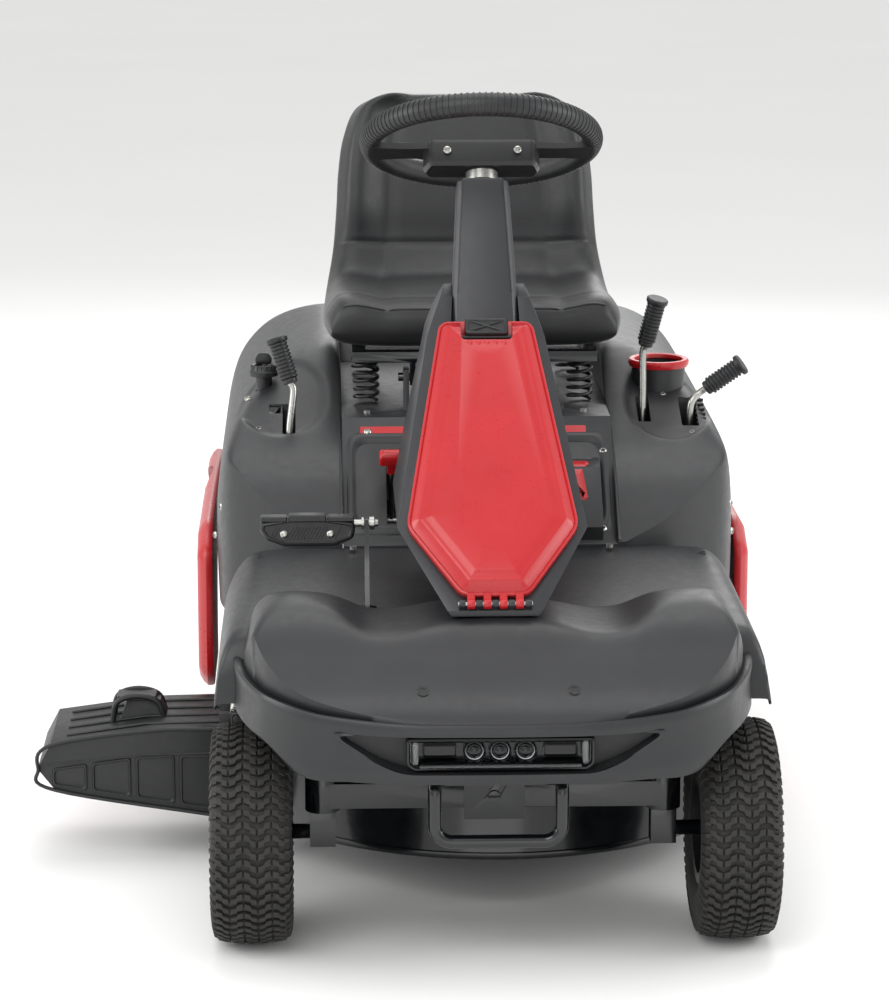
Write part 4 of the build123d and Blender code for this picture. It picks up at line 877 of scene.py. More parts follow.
LEVERS = {"shift_lever": ((-258, 30, 490), (-258, 30, 547), (-255, 45, 613), (-275, 60, 674)),
          "blade_lever": ((237, 76, 490), (237, 84, 590), (240, 88, 656), (256, 76, 724)),
          "lift_lever": ((301, 68, 490), (302, 66, 578), (324, 70, 597), (374, 62, 634))}
for name, (foot, knee, start, tip) in LEVERS.items():
    body = body_of_node[name]
    points = [at(*p) for p in (foot, knee, start, tip)]
    lean = (points[3] - points[2]).normalized()
    before = points[2] - lean * 0.012
    bend = [points[0], points[0].lerp(points[1], 0.5), points[1].lerp(points[0], 0.12),
            points[1].lerp(before, 0.25), before, points[2]]
    rod = tube(smooth_route(bend, 6), 5.0, 14)
    boss = turned([(-8, 6.4), (-8, 10), (8, 10), (8, 6.4)], at(foot[0], 72 if foot[0] > 0 else 30,
                                                               470), (1, 0, 0), 24)
    link = tube([at(foot[0], 72 if foot[0] > 0 else 30, 474), points[0]], 5.0, 14)
    piece(name + "_rod", *joined([rod, boss, link]), zinc, body, "zinc_steel", (name,))
    length = (points[3] - points[2]).length * 1000
    grip = turned(grip_profile(length, 13), points[2], lean, 32)
    piece(name + "_grip", *grip, grip_rubber, body, "black_plastic")
print(len(LEVERS), "levers")

# %% [markdown]
# ## The lid
# A red cover on the console: a six-sided plate with a chamfered border and a raised middle
# panel. It is built from one outline through many levels, and a pocket at its top takes the
# thumb latch. Four knuckles carry it on a pin at its foot.

# %% Lid
SLOPE = math.radians(47.4)
lid_run = Vector((0, math.cos(SLOPE), math.sin(SLOPE)))
lid_out = Vector((0, -math.sin(SLOPE), math.cos(SLOPE)))
lid_foot = at(0, -545, 442)
LID_LENGTH = 413


def on_lid(x, v, w):
    """A point of the lid: x across, v up its slope, w out of it."""
    return lid_foot + Vector((x / 1000, 0, 0)) + lid_run * (v / 1000) + lid_out * (w / 1000)


lid_right = [(41, 10), (108, 109), (60, LID_LENGTH)]
lid_corners = mirrored(lid_right)
pocket_half, pocket_low = 33, LID_LENGTH - 37
levels = [(5, 1.0), (0, 0.9), (0, 8.5), (1.2, 10), (3.2, 10.6), (4.2, 9.4), (5.4, 10.8),
          (15, 19.6), (17, 20.4), (20, 20.7), (24, 20.7), (27, 22.4), (32, 23.1), (60, 24.2)]
lid = piece("lid_cover", *stacked(lid_corners, levels, on_lid, 14, 6), lid_plastic, "lid",
            "red_plastic", ("console_lid",), 40)
cutter_points, cutter_faces = stacked([(-pocket_half, pocket_low), (pocket_half, pocket_low),
                                       (pocket_half, LID_LENGTH + 30),
                                       (-pocket_half, LID_LENGTH + 30)],
                                      [(0, 9.0), (0, 60)], on_lid, 7)
cutter_mesh = bpy.data.meshes.new("pocket_cutter")
cutter_mesh.from_pydata([tuple(p) for p in cutter_points], [], cutter_faces)
cutter = bpy.data.objects.new("pocket_cutter", cutter_mesh)
bpy.context.scene.collection.objects.link(cutter)
cut = lid.modifiers.new("pocket", "BOOLEAN")
cut.operation = "DIFFERENCE"
cut.object = cutter
cut.solver = "EXACT"
soften = lid.modifiers.new("soften", "BEVEL")
soften.width = 0.0012
soften.segments = 2
soften.limit_method = "ANGLE"
soften.angle_limit = math.radians(40)
baked(lid)
bpy.data.objects.remove(cutter)
lid.data.shade_smooth()
lid.data.set_sharp_from_angle(angle=math.radians(30))

knuckles = []
for x in (-30, -10, 10, 30):
    knuckles.append(turned([(-5, 3.2), (-5, 6), (-4.4, 6.4), (4.4, 6.4), (5, 6), (5, 3.2)],
                           on_lid(x, 0, 6), (1, 0, 0), 24))
    knuckles.append(stacked([(x - 5, 2), (x + 5, 2), (x + 5, 14), (x - 5, 14)],
                            [(0.4, 2.4), (0, 3), (0, 10), (0.6, 11)], on_lid, 1.5, 2))
piece("lid_knuckles", *joined(knuckles), lid_plastic, "lid", "red_plastic")
bumps = [on_lid(x, pocket_low - 5, 22.6) for x in (-22, -11, 0, 11, 22)]
bump_shape = turned([(-1, 0.1), (-1, 4.4), (0.6, 4.0), (1.6, 2.4), (1.9, 0.1)],
                    Vector((0, 0, 0)), (0, 0, 1), 14)
bump_mesh = scattered("lid_bumps", bump_shape, bumps, [lid_out] * 5, lid_plastic)
dressed("lid_bumps", bump_mesh, lid_plastic, "lid")

# %% [markdown]
# ### The latch
# A black thumb plate with a cross of raised ribs in a shallow tray, so that it can be pressed
# with a glove on.

# %% Latch
latch_outline = [(-28, LID_LENGTH - 29), (28, LID_LENGTH - 29), (28, LID_LENGTH - 4),
                 (-28, LID_LENGTH - 4)]
latch_plate = stacked(latch_outline, [(1, 13.2), (0, 14), (0, 22), (1.5, 24.5), (4, 25.2),
                                      (5.5, 23.6), (8, 23.4)], on_lid, 6)
cross = []
for sign in (-1, 1):
    a = on_lid(-19, LID_LENGTH - 16.5 - sign * 7, 23.6)
    b = on_lid(19, LID_LENGTH - 16.5 + sign * 7, 23.6)
    cross.append(tube([a, a.lerp(b, 0.5), b], 1.5, 8))
pin = turned([(-34, 3), (34, 3)], on_lid(0, LID_LENGTH - 29, 16), (1, 0, 0), 16)
piece("latch_plate", *joined([latch_plate, *cross, pin]), black_plastic, "latch",
      "black_plastic", ("lid_latch",))
print("lid, latch and", len(bumps), "bumps")

# %% [markdown]
# ## The nose
# The cowl is one broad moulding: a dome over each front wheel, a valley between them and a long
# slope down to the bumper. Its height at any spot is the lower of two drawn lines, one seen from
# the side and one from the front, blended softly where they cross.

# %% Cowl
def soft_min(a, b, blend):
    """The lower of two heights, rounded where they cross."""
    return (a + b - math.sqrt((a - b) ** 2 + blend * blend)) / 2


def read(table, x):
    """A smooth value between the rows of (x, value)."""
    if x <= table[0][0]:
        return table[0][1]
    for (x0, v0), (x1, v1) in zip(table, table[1:]):
        if x <= x1:
            t = (x - x0) / (x1 - x0)
            before = table[max(table.index((x0, v0)) - 1, 0)]
            after = table[min(table.index((x1, v1)) + 1, len(table) - 1)]
            slope0 = (v1 - before[1]) / max(x1 - before[0], 1e-6) * (x1 - x0)
            slope1 = (after[1] - v0) / max(after[0] - x0, 1e-6) * (x1 - x0)
            return ((2 * t ** 3 - 3 * t * t + 1) * v0 + (t ** 3 - 2 * t * t + t) * slope0
                    + (3 * t * t - 2 * t ** 3) * v1 + (t ** 3 - t * t) * slope1)
    return table[-1][1]


COWL_SIDE = [(-682, 326), (-668, 340), (-640, 360), (-600, 394), (-560, 428), (-520, 446),
             (-480, 450), (-450, 438), (-430, 408)]
COWL_FRONT = [(0, 431), (70, 427), (120, 417), (160, 419), (205, 441), (245, 450), (275, 444),
              (298, 420), (313, 372)]
NOSE_PLAN = [(0, -681), (60, -680), (115, -677), (180, -664), (242, -641), (280, -608),
             (300, -568), (311, -520), (313, -470)]


def cowl_height(x, y):
    return soft_min(read(COWL_SIDE, y), read(COWL_FRONT, abs(x)), 9)


rows, columns = 56, 120
rings = []
for j in range(columns + 1):
    x = 313 * math.sin(math.pi / 2 * (2 * j / columns - 1))
    nose = read(NOSE_PLAN, abs(x))
    ring = [at(x, nose, 316)]
    for i in range(rows + 1):
        y = nose + (-430 - nose) * (i / rows)
        ring.append(at(x, y, cowl_height(x, y)))
    ring.append(at(x, -430, 345))
    rings.append(ring)
cowl = piece("cowl_skin", *skin(rings, closed=False, caps=False), body_plastic, "frame",
             "moulded_charcoal", ("front_cowl",), 50)
wall = cowl.modifiers.new("wall", "SOLIDIFY")
wall.thickness = 0.0035
wall.offset = -1
baked(cowl)
cup_shape = turned([(0.5, 0.1), (0.7, 4.2), (1.8, 5.2), (2.0, 6.4), (1.2, 7.2), (-1, 7.4)],
                   Vector((0, 0, 0)), (0, 0, 1), 20)
nose_up = Vector((0, -0.64, 0.77))
holes = [at(x, -640, cowl_height(x, -640)) for x in (-92, 92)]
dressed("cowl_bosses", scattered("cowl_bosses", cup_shape, holes, [nose_up] * 2, black_plastic),
        black_plastic, "frame")

# %% [markdown]
# The bumper is a band round the nose that rises to a tip at each side. A section with a rolled
# top lip and a slightly hollow face is carried along its plan line, and a tapered recess is cut
# in its middle for the lamp.

# %% Bumper
BUMPER_PLAN = [(0, -695), (60, -694), (115, -691), (180, -677), (242, -655), (286, -616),
               (309, -570), (322, -525), (327, -480)]
BUMPER_LOW = [(0, 258), (180, 257), (242, 259), (286, 290), (310, 297), (327, 306)]
BUMPER_HIGH = [(0, 331), (120, 332), (215, 338), (262, 346), (300, 354), (327, 366)]
SECTION = [(13, 0.04), (3, 0.0), (0, 0.07), (0.8, 0.22), (2.2, 0.5), (1.6, 0.74), (0, 0.86),
           (0.2, 0.95), (2.5, 1.0), (8, 1.0), (13, 0.95)]
rings = []
for k in range(-110, 111):
    turn = math.pi / 2 * k / 110
    x = 327 * math.sin(turn)
    y = read(BUMPER_PLAN, abs(x))
    ahead = min(abs(x) + 1, 327)
    behind = max(abs(x) - 1, 0)
    run = Vector((ahead - behind, read(BUMPER_PLAN, ahead) - read(BUMPER_PLAN, behind)))
    inward = Vector((-run.y, run.x)).normalized() if x >= 0 else Vector((run.y, run.x)).normalized()
    if k == 0:
        inward = Vector((0, 1))
    low, high = read(BUMPER_LOW, abs(x)), read(BUMPER_HIGH, abs(x))
    if abs(k) > 104:
        pinch = (abs(k) - 104) / 6
        middle = (low + high) / 2
        low += (middle - low) * 0.5 * pinch ** 2
        high += (middle - high) * 0.12 * pinch ** 2
    rings.append([at(x + inward.x * into, y + inward.y * into, low + (high - low) * share)
                  for into, share in SECTION])
bumper = piece("bumper_band", *skin(rings), body_plastic, "frame", "moulded_charcoal",
               ("front_bumper",), 50)


def carve(target, shapes, solver="EXACT"):
    """Cuts closed shapes of (points, faces) out of a piece."""
    mesh = bpy.data.meshes.new("cutter")
    points, faces = joined(shapes)
    mesh.from_pydata([tuple(p) for p in points], [], faces)
    work = bmesh.new()
    work.from_mesh(mesh)
    bmesh.ops.recalc_face_normals(work, faces=work.faces)
    work.to_mesh(mesh)
    work.free()
    tool = bpy.data.objects.new("cutter", mesh)
    bpy.context.scene.collection.objects.link(tool)
    modifier = target.modifiers.new("cut", "BOOLEAN")
    modifier.operation = "DIFFERENCE"
    modifier.object = tool
    modifier.solver = solver
    baked(target)
    bpy.data.objects.remove(tool)
    target.data.shade_smooth()
    target.data.set_sharp_from_angle(angle=math.radians(35))


def on_front(x, z, w):
    """A point of the nose: x across, z up, w forwards."""
    return at(x, -w, z)


grille = [(-118, 270), (118, 270), (150, 282), (204, 317), (-204, 317), (-150, 282)]
carve(bumper, [stacked(grille, [(0, 600), (0, 720)], on_front, 16, 5)])
lip = [[at(p.x, -(690 - 0.00042 * p.x * p.x), p.y) for p in rounded(inset(grille, -1.5), 16, 5)],
       [at(p.x, -(692 - 0.00045 * p.x * p.x), p.y) for p in rounded(inset(grille, 1.0), 16, 5)],
       [at(p.x, -(684 - 0.00045 * p.x * p.x), p.y) for p in rounded(inset(grille, 2.4), 16, 5)],
       [at(p.x, -(672 - 0.00045 * p.x * p.x), p.y) for p in rounded(inset(grille, 3.0), 16, 5)]]
piece("grille_lip", *skin(lip, caps=False), body_plastic, "frame", "moulded_charcoal")

# %% [markdown]
# ### The lamp
# Three projector lamps sit in a polished black tray, with a flat reflector bay at each side of
# them. The lens is clear only at its two ends and along a low sill, so the tray stays dark.

# %% Lamp
tray_outline = [(-104, 275), (104, 275), (113, 282), (113, 314), (-113, 314), (-113, 282)]
tray = stacked(tray_outline, [(-1, 660), (-1, 684), (0, 689), (2.5, 690), (5, 687), (8, 668),
                              (9, 667)], on_front, 5, 4)
tray_back = stacked([(-200, 268), (200, 268), (206, 320), (-206, 320)],
                    [(0, 655), (0, 660)], on_front, 3, 2)
bays = []
for side in (-1, 1):
    x0, x1 = sorted((side * 52, side * 94))
    bays.append(stacked([(x0, 286), (x1, 286), (x1, 302), (x0, 302)],
                        [(0, 667), (0, 674), (1.4, 674.6), (2.6, 670)], on_front, 5, 4))
piece("lamp_tray", *joined([tray, *bays]), gloss_plastic, "frame", "gloss_black_plastic",
      ("headlight_housing",))
piece("lamp_back", *tray_back, black_plastic, "frame", "gloss_black_plastic")
lamps, eyes = [], []
for x in (-31, 0, 31):
    lamps.append(turned([(-10, 0.1), (-10, 13.4), (8, 14.0), (9.4, 13.2), (8, 12.4), (2, 11.2),
                         (-2, 0.1)], at(x, -668, 294), (0, -1, 0), 32))
    eyes.append(turned([(-1, 10.6), (3, 10.2), (6.5, 8.4), (8.8, 5.0), (9.8, 0.1)],
                       at(x, -668, 294), (0, -1, 0), 28))
piece("lamp_bezels", *joined(lamps), lamp_mirror, "frame", "gloss_black_plastic")
piece("lamp_eyes", *joined(eyes), gloss_plastic, "frame", "gloss_black_plastic")
edges = []
for side in (-1, 1):
    x0, x1 = sorted((side * 99, side * 106))
    edges.append(stacked([(x0, 282), (x1, 282), (x1, 309), (x0, 309)],
                         [(0, 684), (0, 689), (1.5, 691), (3, 691.4)], on_front, 2, 3))
sill = stacked([(-98, 277.5), (98, 277.5), (98, 280.5), (-98, 280.5)],
               [(0, 684), (0, 689), (1, 690.2)], on_front, 1, 2)
piece("lamp_cover", *joined([*edges, sill]), lens_clear, "frame", "clear_lens",
      ("headlight_lens",))
print("nose and lamp")

# %% [markdown]
# ## The rear body
# Each fender is a single moulding from the foot floor to the tail, with the controls set in a
# shallow oval panel on its front slope. Its section is a line seen from the front, and a line
# seen from the side trims each section's height, again with a soft blend. The wheel arch, the
# lever slots and the key hole are cut after the wall has its thickness.

# %% Fenders
FENDER_TOP = [(-150, 430), (-110, 470), (-70, 506), (-20, 536), (60, 567), (130, 596),
              (200, 624), (260, 645), (320, 656), (440, 657), (560, 648), (625, 630),
              (665, 592), (685, 520), (695, 430)]
FENDER_WIDE = [(-150, 196), (-120, 262), (-80, 312), (-40, 343), (20, 360), (80, 366),
               (600, 366), (660, 358), (695, 340)]
FENDER_SECTION = [(185.4, 309), (185.4, 400), (185.4, 500), (185.4, 580), (185.4, 618),
                  (190, 634), (204, 639), (228, 635), (262, 622), (296, 600), (324, 570),
                  (343, 538), (354, 504), (361, 465), (364, 430), (364, 370), (361, 309)]


def section_points(table, spacing):
    """A drawn line resampled at an even spacing."""
    line = smooth_route([Vector((x, z, 0)) for x, z in table], 12)
    out, left = [line[0]], spacing
    for a, b in zip(line, line[1:]):
        length = (b - a).length
        while length >= left:
            a = a.lerp(b, left / length)
            length -= left
            out.append(a)
            left = spacing
        left -= length
    return [*out, line[-1]]


def panel_recess(side, x, y):
    """Depth of the oval control panel at a spot."""
    centre, reach = ((272, 82), (62, 92)) if side > 0 else ((268, 104), (66, 100))
    offset = math.hypot((x - centre[0]) / reach[0], (y - centre[1]) / reach[1])
    return 4.5 * (1 - ramp(0.86, 1.0, offset))


def fender_shell(side, word):
    """One fender with its wall, arch and openings."""
    line = section_points(FENDER_SECTION, 6.0)
    stations = [-150 + 6 * i for i in range(76)] + [306 + 9 * i for i in range(1, 34)]
    stations += [608 + 5 * i for i in range(18)]
    rings = []
    for y in stations:
        top = read(FENDER_TOP, y)
        wide = read(FENDER_WIDE, y)
        ring = []
        for p in line:
            x = p.x if p.x < 190 else max(soft_min(p.x, wide, 10), 185.4)
            z = max(soft_min(p.y, top, 12), 309)
            if z > 440 and y < 300:
                z -= panel_recess(side, x, y) * ramp(0, 20, x - 200)
            ring.append(at(side * x, y, z))
        rings.append(ring)
    obj = piece("fender_" + word, *skin(rings, closed=False, caps=True), body_plastic, "frame",
                "moulded_charcoal", (word + "_fender",), 45)
    shell = obj.modifiers.new("wall", "SOLIDIFY")
    shell.thickness = 0.0035
    shell.offset = -1
    baked(obj)
    arch = turned([(-130, 0.1), (-130, 212), (110, 212), (110, 0.1)], at(side * 300, 500, 190.5),
                  (1, 0, 0), 72)
    cutters = [arch]

    def slot_cutter(x0, x1, y0, y1):
        return stacked([(x0, y0), (x1, y0), (x1, y1), (x0, y1)], [(0, 480), (0, 680)],
                       lambda x, y, z: at(x, y, z), 2, 2)

    if side > 0:
        cutters += [slot_cutter(228, 246, 44, 104), slot_cutter(288, 312, 34, 104),
                    turned([(-80, 0.1), (-80, 36.4), (60, 36.4), (60, 0.1)], at(265, 150, 600),
                           (0, 0, 1), 48)]
    else:
        cutters += [slot_cutter(-267, -249, 19, 92),
                    slot_cutter(-286, -249, 70, 92),
                    turned([(-40, 0.1), (-40, 12), (60, 12), (60, 0.1)], at(-294, 147, 600),
                           (0, 0, 1), 32)]
    for cutter in cutters:
        carve(obj, [cutter])
    print(obj.name, len(obj.data.polygons), "faces")
    return obj


for side, word in ((1, "left"), (-1, "right")):
    fender_shell(side, word)

# %% [markdown]
# ## Foot floor and red sides
# The floor is a tray between the cowl and the fenders. It rolls down at its front and at each
# side, so it meets the bumper tips in a soft shoulder. The red side panels have a broad bevel.

# %% Floor and side panels
FLOOR_LINE = [(-505, 310), (-496, 350), (-474, 388), (-440, 399), (-300, 412), (-150, 427)]
FLOOR_SIDE = [(0, 445), (240, 444), (290, 434), (322, 406), (342, 362), (350, 310)]
FLOOR_STEPS = 60
rings = []
for i in range(FLOOR_STEPS + 1):
    x = 350 * math.sin(math.pi / 2 * (2 * i / FLOOR_STEPS - 1))
    ring = []
    for j in range(FLOOR_STEPS + 1):
        y = -505 + (505 - 150) * (j / FLOOR_STEPS) ** 1.3
        ring.append(at(x, y, soft_min(read(FLOOR_LINE, y), read(FLOOR_SIDE, abs(x)), 16)))
    rings.append(ring)
floor_skin = piece("floor_skin", *skin(rings, closed=False, caps=False), body_plastic, "frame",
                   "moulded_charcoal", ("floor_pan",), 45)
thick = floor_skin.modifiers.new("wall", "SOLIDIFY")
thick.thickness = 0.0035
thick.offset = -1
baked(floor_skin)
carve(floor_skin, [stacked([(-168, -432), (-144, -432), (-144, -384), (-168, -384)],
                           [(0, 340), (0, 460)], lambda x, y, z: at(x, y, z), 5, 3)])
box_low, box_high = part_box("side_panels")
panel_back = (box_high.y - centre_y) * 1000
panel_front = (box_low.y - centre_y) * 1000
panels = []
for side in (-1, 1):
    outline = [(panel_front, 190), (panel_front + 40, 162), (panel_back, 162),
               (panel_back, 396), (panel_front + 60, 402), (panel_front, 372)]
    panels.append(stacked(outline, [(2, 368), (0, 371), (0, 377), (6, 383), (16, 388.5),
                                    (22, 389.6)],
                          lambda y, z, w, side=side: at(side * w, y, z), 22, 5))
red_sides = piece("red_sides", *joined(panels), lid_plastic, "frame", "red_plastic",
                  ("side_panels",))
carve(red_sides, [turned([(-420, 0.1), (-420, 206), (420, 206), (420, 0.1)],
                         at(0, 500, 190.5), (1, 0, 0), 64)])
print("floor and sides", len(red_sides.data.polygons))

# %% [markdown]
# ## Steering tower
# The tower is a flat-sided sleeve whose foot goes down inside the console's neck. A broad bevel
# runs down each of its four edges and catches the light.

# %% Tower
tower_rings = []
for w, half, deep in ((-268, 44, 25), (-216, 42, 26), (-140, 38.2, 26), (-62, 33.8, 26),
                      (-58.5, 32.4, 24.6), (-58, 30, 22)):
    bevel = 7
    section = [(-half + bevel, -deep), (half - bevel, -deep), (half, -deep + bevel),
               (half, deep - bevel), (half - bevel, deep), (-half + bevel, deep),
               (-half, deep - bevel), (-half, -deep + bevel)]
    tower_rings.append([on_wheel(p.x, p.y, w) for p in rounded(section, 1.6, 2)])
piece("tower_sleeve", *skin(tower_rings), console_plastic, "frame", "console_grey",
      ("steering_tower",), 25)
seam_lines = [tube([on_wheel(side * (tower_half - 7), 26.2, w) for w, tower_half in
                    ((-214, 42), (-140, 38.2), (-62, 33.8))], 0.9, 6) for side in (-1, 1)]
piece("tower_beads", *joined(seam_lines), black_plastic, "frame", "console_grey")

# %% [markdown]
# ## Pedal
# A wide pad in three bevelled sections with a diagonal grip pattern and two screws, on a flat
# steel arm. The grip bars are one slanted bar repeated on points.

# %% Pedal
def on_pad(x, z, w):
    """A point of the pedal pad: x across, z up, w towards the front."""
    return at(x, -331 - w + (z - 490) * 0.12, z)


pad_outline = [(-286, 480), (-262, 471), (-198, 471), (-174, 480), (-170, 492), (-172, 503),
               (-210, 509), (-254, 509), (-292, 503), (-294, 492)]
pad = stacked(pad_outline, [(1, -9), (0, -8), (0, 4), (2.5, 7.5), (5, 8.2), (6.5, 6.6), (9, 6.4)],
              on_pad, 4, 3)
top_wings = []
for x0, x1, rise in ((-292, -258, 0.0), (-256, -208, 2.0), (-206, -172, 0.0)):
    top_wings.append(stacked([(x0, 503), (x1, 503), (x1, 510 + rise), (x0, 510 + rise)],
                             [(1, -8), (0, -7), (0, 8), (1.2, 9.4)], on_pad, 2, 2))
arm_points = [(-411, 321), (-393, 321), (-384, 398), (-322, 500), (-334, 508), (-402, 404)]
arm = skin([[at(-156 + x, y, z) for y, z in
             [(p.x, p.y) for p in rounded(arm_points, 5, 3)]] for x in (-3, -2.4, 2.4, 3)])
boss = turned([(-6, 6.2), (-6, 12), (6, 12), (6, 6.2)], at(-156, -402, 330), (1, 0, 0), 28)
piece("pedal_pad", *joined([pad, *top_wings]), black_plastic, "pedal", "black_plastic",
      ("brake_pedal",))
piece("pedal_arm", *joined([arm, boss]), deck_paint, "pedal", "black_plastic")
bolt = turned([(-24, 0.1), (-24, 5), (-6, 5), (-6, 8), (-3.6, 8), (-3.6, 5), (4, 5), (4, 8.6),
               (10, 8.6), (10.6, 7.6), (10.6, 5), (15, 4.6), (15.6, 3.8), (15.6, 0.1)],
              on_pad(-156, 499, -1), (1, 0, 0), 20)
pad_screws = scattered("pad_screws", screw_shape, [on_pad(-262, 487, 6.2), on_pad(-202, 487, 6.2)],
                       [Vector((0, -1, 0.12))] * 2, zinc)
piece("pedal_bolt", *bolt, zinc, "pedal", "zinc_steel")
dressed("pad_screws", pad_screws, zinc, "pedal")
bar = skin([[Vector((x * 0.5, x * 0.87 + o, w)) / 1000 for o, w in ((-1, 0), (-0.5, 1.3), (0.5, 1.3),
                                                                    (1, 0))] for x in (-9, 9)])
grip_points = [on_pad(-276 + 4.4 * i, 488, 6.4) for i in range(20)
               if min(abs(-276 + 4.4 * i + 262), abs(-276 + 4.4 * i + 202)) > 7]
grip_mesh = scattered("pad_grip", bar, grip_points, [Vector((0, -1, 0.12))] * len(grip_points),
                      black_plastic)
dressed("pad_grip", grip_mesh, black_plastic, "pedal")

# %% [markdown]
# ## Parking lever, cup ring and key
# Small coloured controls: a blocky red knob on a stem, a red ring round a deep dark well, and a key in
# a switch whose ribbed boss stands on the panel.

# %% Small controls
knob_at = at(-117.5, -96, 537)
park_pivot = at(-117.5, -15, 430)
park_axis = (knob_at - park_pivot).normalized()
park_side = Vector((1, 0, 0))
park_back = park_axis.cross(park_side)


def on_knob(x, v, w):
    """A point of the knob: x across, v square to it, w along the stem."""
    return knob_at + (park_side * x + park_back * v + park_axis * w) / 1000


knob = stacked([(-18, -9), (18, -9), (18, 9), (-18, 9)],
               [(3, -11), (0, -8), (0, 3), (2, 8), (6, 11), (7, 11.2)], on_knob, 4, 3)
neck = stacked([(-7, -5), (7, -5), (7, 5), (-7, 5)], [(0, -30), (0, -10)], on_knob, 1.5, 2)
stem = tube([park_pivot, knob_at - park_axis * 0.02], 4.0, 12)
park_boss = turned([(-8, 5.2), (-8, 9), (8, 9), (8, 5.2)], park_pivot, (1, 0, 0), 24)
piece("parking_knob", *joined([knob, neck]), lid_plastic, "parking_lever", "red_plastic",
      ("parking_lever",))
piece("parking_stem", *joined([stem, park_boss]), zinc, "parking_lever", "zinc_steel")

cup_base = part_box("cup_holder")
ring_top = cup_base[1].z * 1000
cup = turned([(-6, 33.4), (-6, 41), (-2, 43), (2, 43), (4.5, 41), (5, 37.5), (3.5, 34.4),
              (-1, 33.4)], at(265, 150, ring_top - 6), (0, 0, 1), 56, False)
well = turned([(-70, 0.1), (-70, 34), (-4, 38), (-3, 33.2), (-68, 31.6), (-68, 0.1)],
              at(265, 150, ring_top - 6), (0, 0, 1), 48)
piece("cup_ring", *cup, lid_plastic, "frame", "red_plastic", ("cup_holder",))
piece("cup_well", *well, body_plastic, "frame", "red_plastic")

key_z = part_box("ignition_switch")[1].z * 1000
switch = turned([(-40, 10), (-18, 12), (-16, 20), (-10, 20.5), (-7, 18), (-1, 17.2), (0, 16),
                 (-1, 13), (-5, 12), (-5, 6), (-40, 6)], at(-294, 147, key_z), (0, 0, 1), 36)
piece("key_switch", *switch, black_plastic, "frame", "black_plastic", ("ignition_switch",))
tooth = stacked([(15.6, -1.2), (18.4, -0.9), (18.4, 0.9), (15.6, 1.2)], [(0.4, -14), (0, -13),
                                                                         (0, -3), (0.5, -1)],
                lambda x, y, z: Vector((x, y, z)) / 1000, 0.4, 1)
dressed("key_ribs", ring_of("key_ribs", tooth, 18, at(-294, 147, key_z), (0, 0, 1),
                            black_plastic), black_plastic, "frame")
blade = stacked([(-2.2, 0), (2.2, 0), (2.2, 16), (-2.2, 16)], [(0, -1.0), (0, 1.0)],
                lambda x, z, w: at(-294 + x, 147 + w, key_z - 8 + z), 0.5, 1)
bow = stacked([(-11, 8), (11, 8), (12, 16), (7, 24), (-7, 24), (-12, 16)],
              [(0.8, -1.7), (0, -1.2), (0, 1.2), (0.8, 1.7)],
              lambda x, z, w: at(-294 + x, 147 + w, key_z - 8 + z), 4, 4)
barrel = turned([(-36, 0.1), (-36, 4.8), (-1, 4.8), (0, 4), (0, 0.1)], at(-294, 147, key_z - 5),
                (0, 0, 1), 20)
piece("key_blade", *joined([blade, barrel]), zinc, "ignition_key", "zinc_steel",
      ("ignition_key",))
piece("key_bow", *bow, black_plastic, "ignition_key", "black_plastic")

# %% [markdown]
# ## Control panels
# Under each slot sits a black liner, which is painted shade: it stands for the shadow inside the
# body, so nothing bright shows through it. A raised rim runs round the slots, stepped notches
# stand beside the outer slot on the machine's left, and zinc screws hold each panel.

# %% Panel trim
def panel_height(y):
    return read(FENDER_TOP, y) - 4.5


def on_panel(x, y, w):
    """A point of the sloping panels: x, y on plan, w above the surface."""
    return at(x, y, panel_height(y) + w - 6)


rims, painted_shade_sleeves = [], []
for x0, x1, y0, y1 in ((228, 246, 44, 104), (288, 312, 34, 104), (-267, -249, 19, 92)):
    outline = [(x0 - 2, y0 - 2), (x1 + 2, y0 - 2), (x1 + 2, y1 + 2), (x0 - 2, y1 + 2)]
    outer = [on_panel(p.x, p.y, 0.5) for p in rounded(inset(outline, -1.5), 3, 3)]
    crest = [on_panel(p.x, p.y, 2.6) for p in rounded(inset(outline, -0.4), 3, 3)]
    inner = [on_panel(p.x, p.y, 2.6) for p in rounded(inset(outline, 1.4), 3, 3)]
    deep = [on_panel(p.x, p.y, -4) for p in rounded(inset(outline, 1.8), 3, 3)]
    rims.append(skin([outer, crest, inner, deep], caps=False))
    # painted shade: a black sleeve under each slot stands in for the shadow inside the body
    wall = [on_panel(p.x, p.y, -4) for p in rounded(inset(outline, 1.2), 3, 3)]
    foot = [at(p.x, p.y, 505 if y0 > 30 else 500) for p in rounded(inset(outline, 1.2), 3, 3)]
    painted_shade_sleeves.append(skin([wall, foot], caps=False))
piece("slot_rims", *joined(rims), body_plastic, "frame", "moulded_charcoal")
piece("slot_liners", *joined(painted_shade_sleeves), black_plastic, "frame", "black_plastic")
notch = stacked([(-7, -1.4), (7, -1.4), (7, 1.4), (-7, 1.4)], [(0, -3), (0, 0.6), (0.6, 1.4)],
                lambda x, y, z: Vector((x, y, z)) / 1000, 1, 2)
notch_points = [on_panel(317, 46 + 11 * i, 2.2) for i in range(6)]
panel_up = Vector((0, -0.40, 0.917))
dressed("gate_notches", scattered("gate_notches", notch, notch_points, [panel_up] * 6,
                                  black_plastic), black_plastic, "frame")
gate = stacked([(-300, 66), (-286, 60), (-270, 92), (-300, 92)],
               [(0, 1.0), (0, 2.2), (0.8, 2.6)], on_panel, 1.5, 2)
piece("gate_mark", *gate, gloss_plastic, "frame", "gloss_black_plastic")
panel_screw_spots = [(-316, 108), (-300, 36), (268, 112), (300, 20)]
panel_screws = scattered("panel_screws", screw_shape,
                         [on_panel(x, y, 2.6) for x, y in panel_screw_spots], [panel_up] * 4, zinc)
dressed("panel_screws", panel_screws, zinc, "frame")
edge_spots = [(-362, -6, 450), (-355, 60, 395), (-352, -60, 360), (362, -6, 450), (355, 60, 395)]
edge_points, edge_facing = [], []
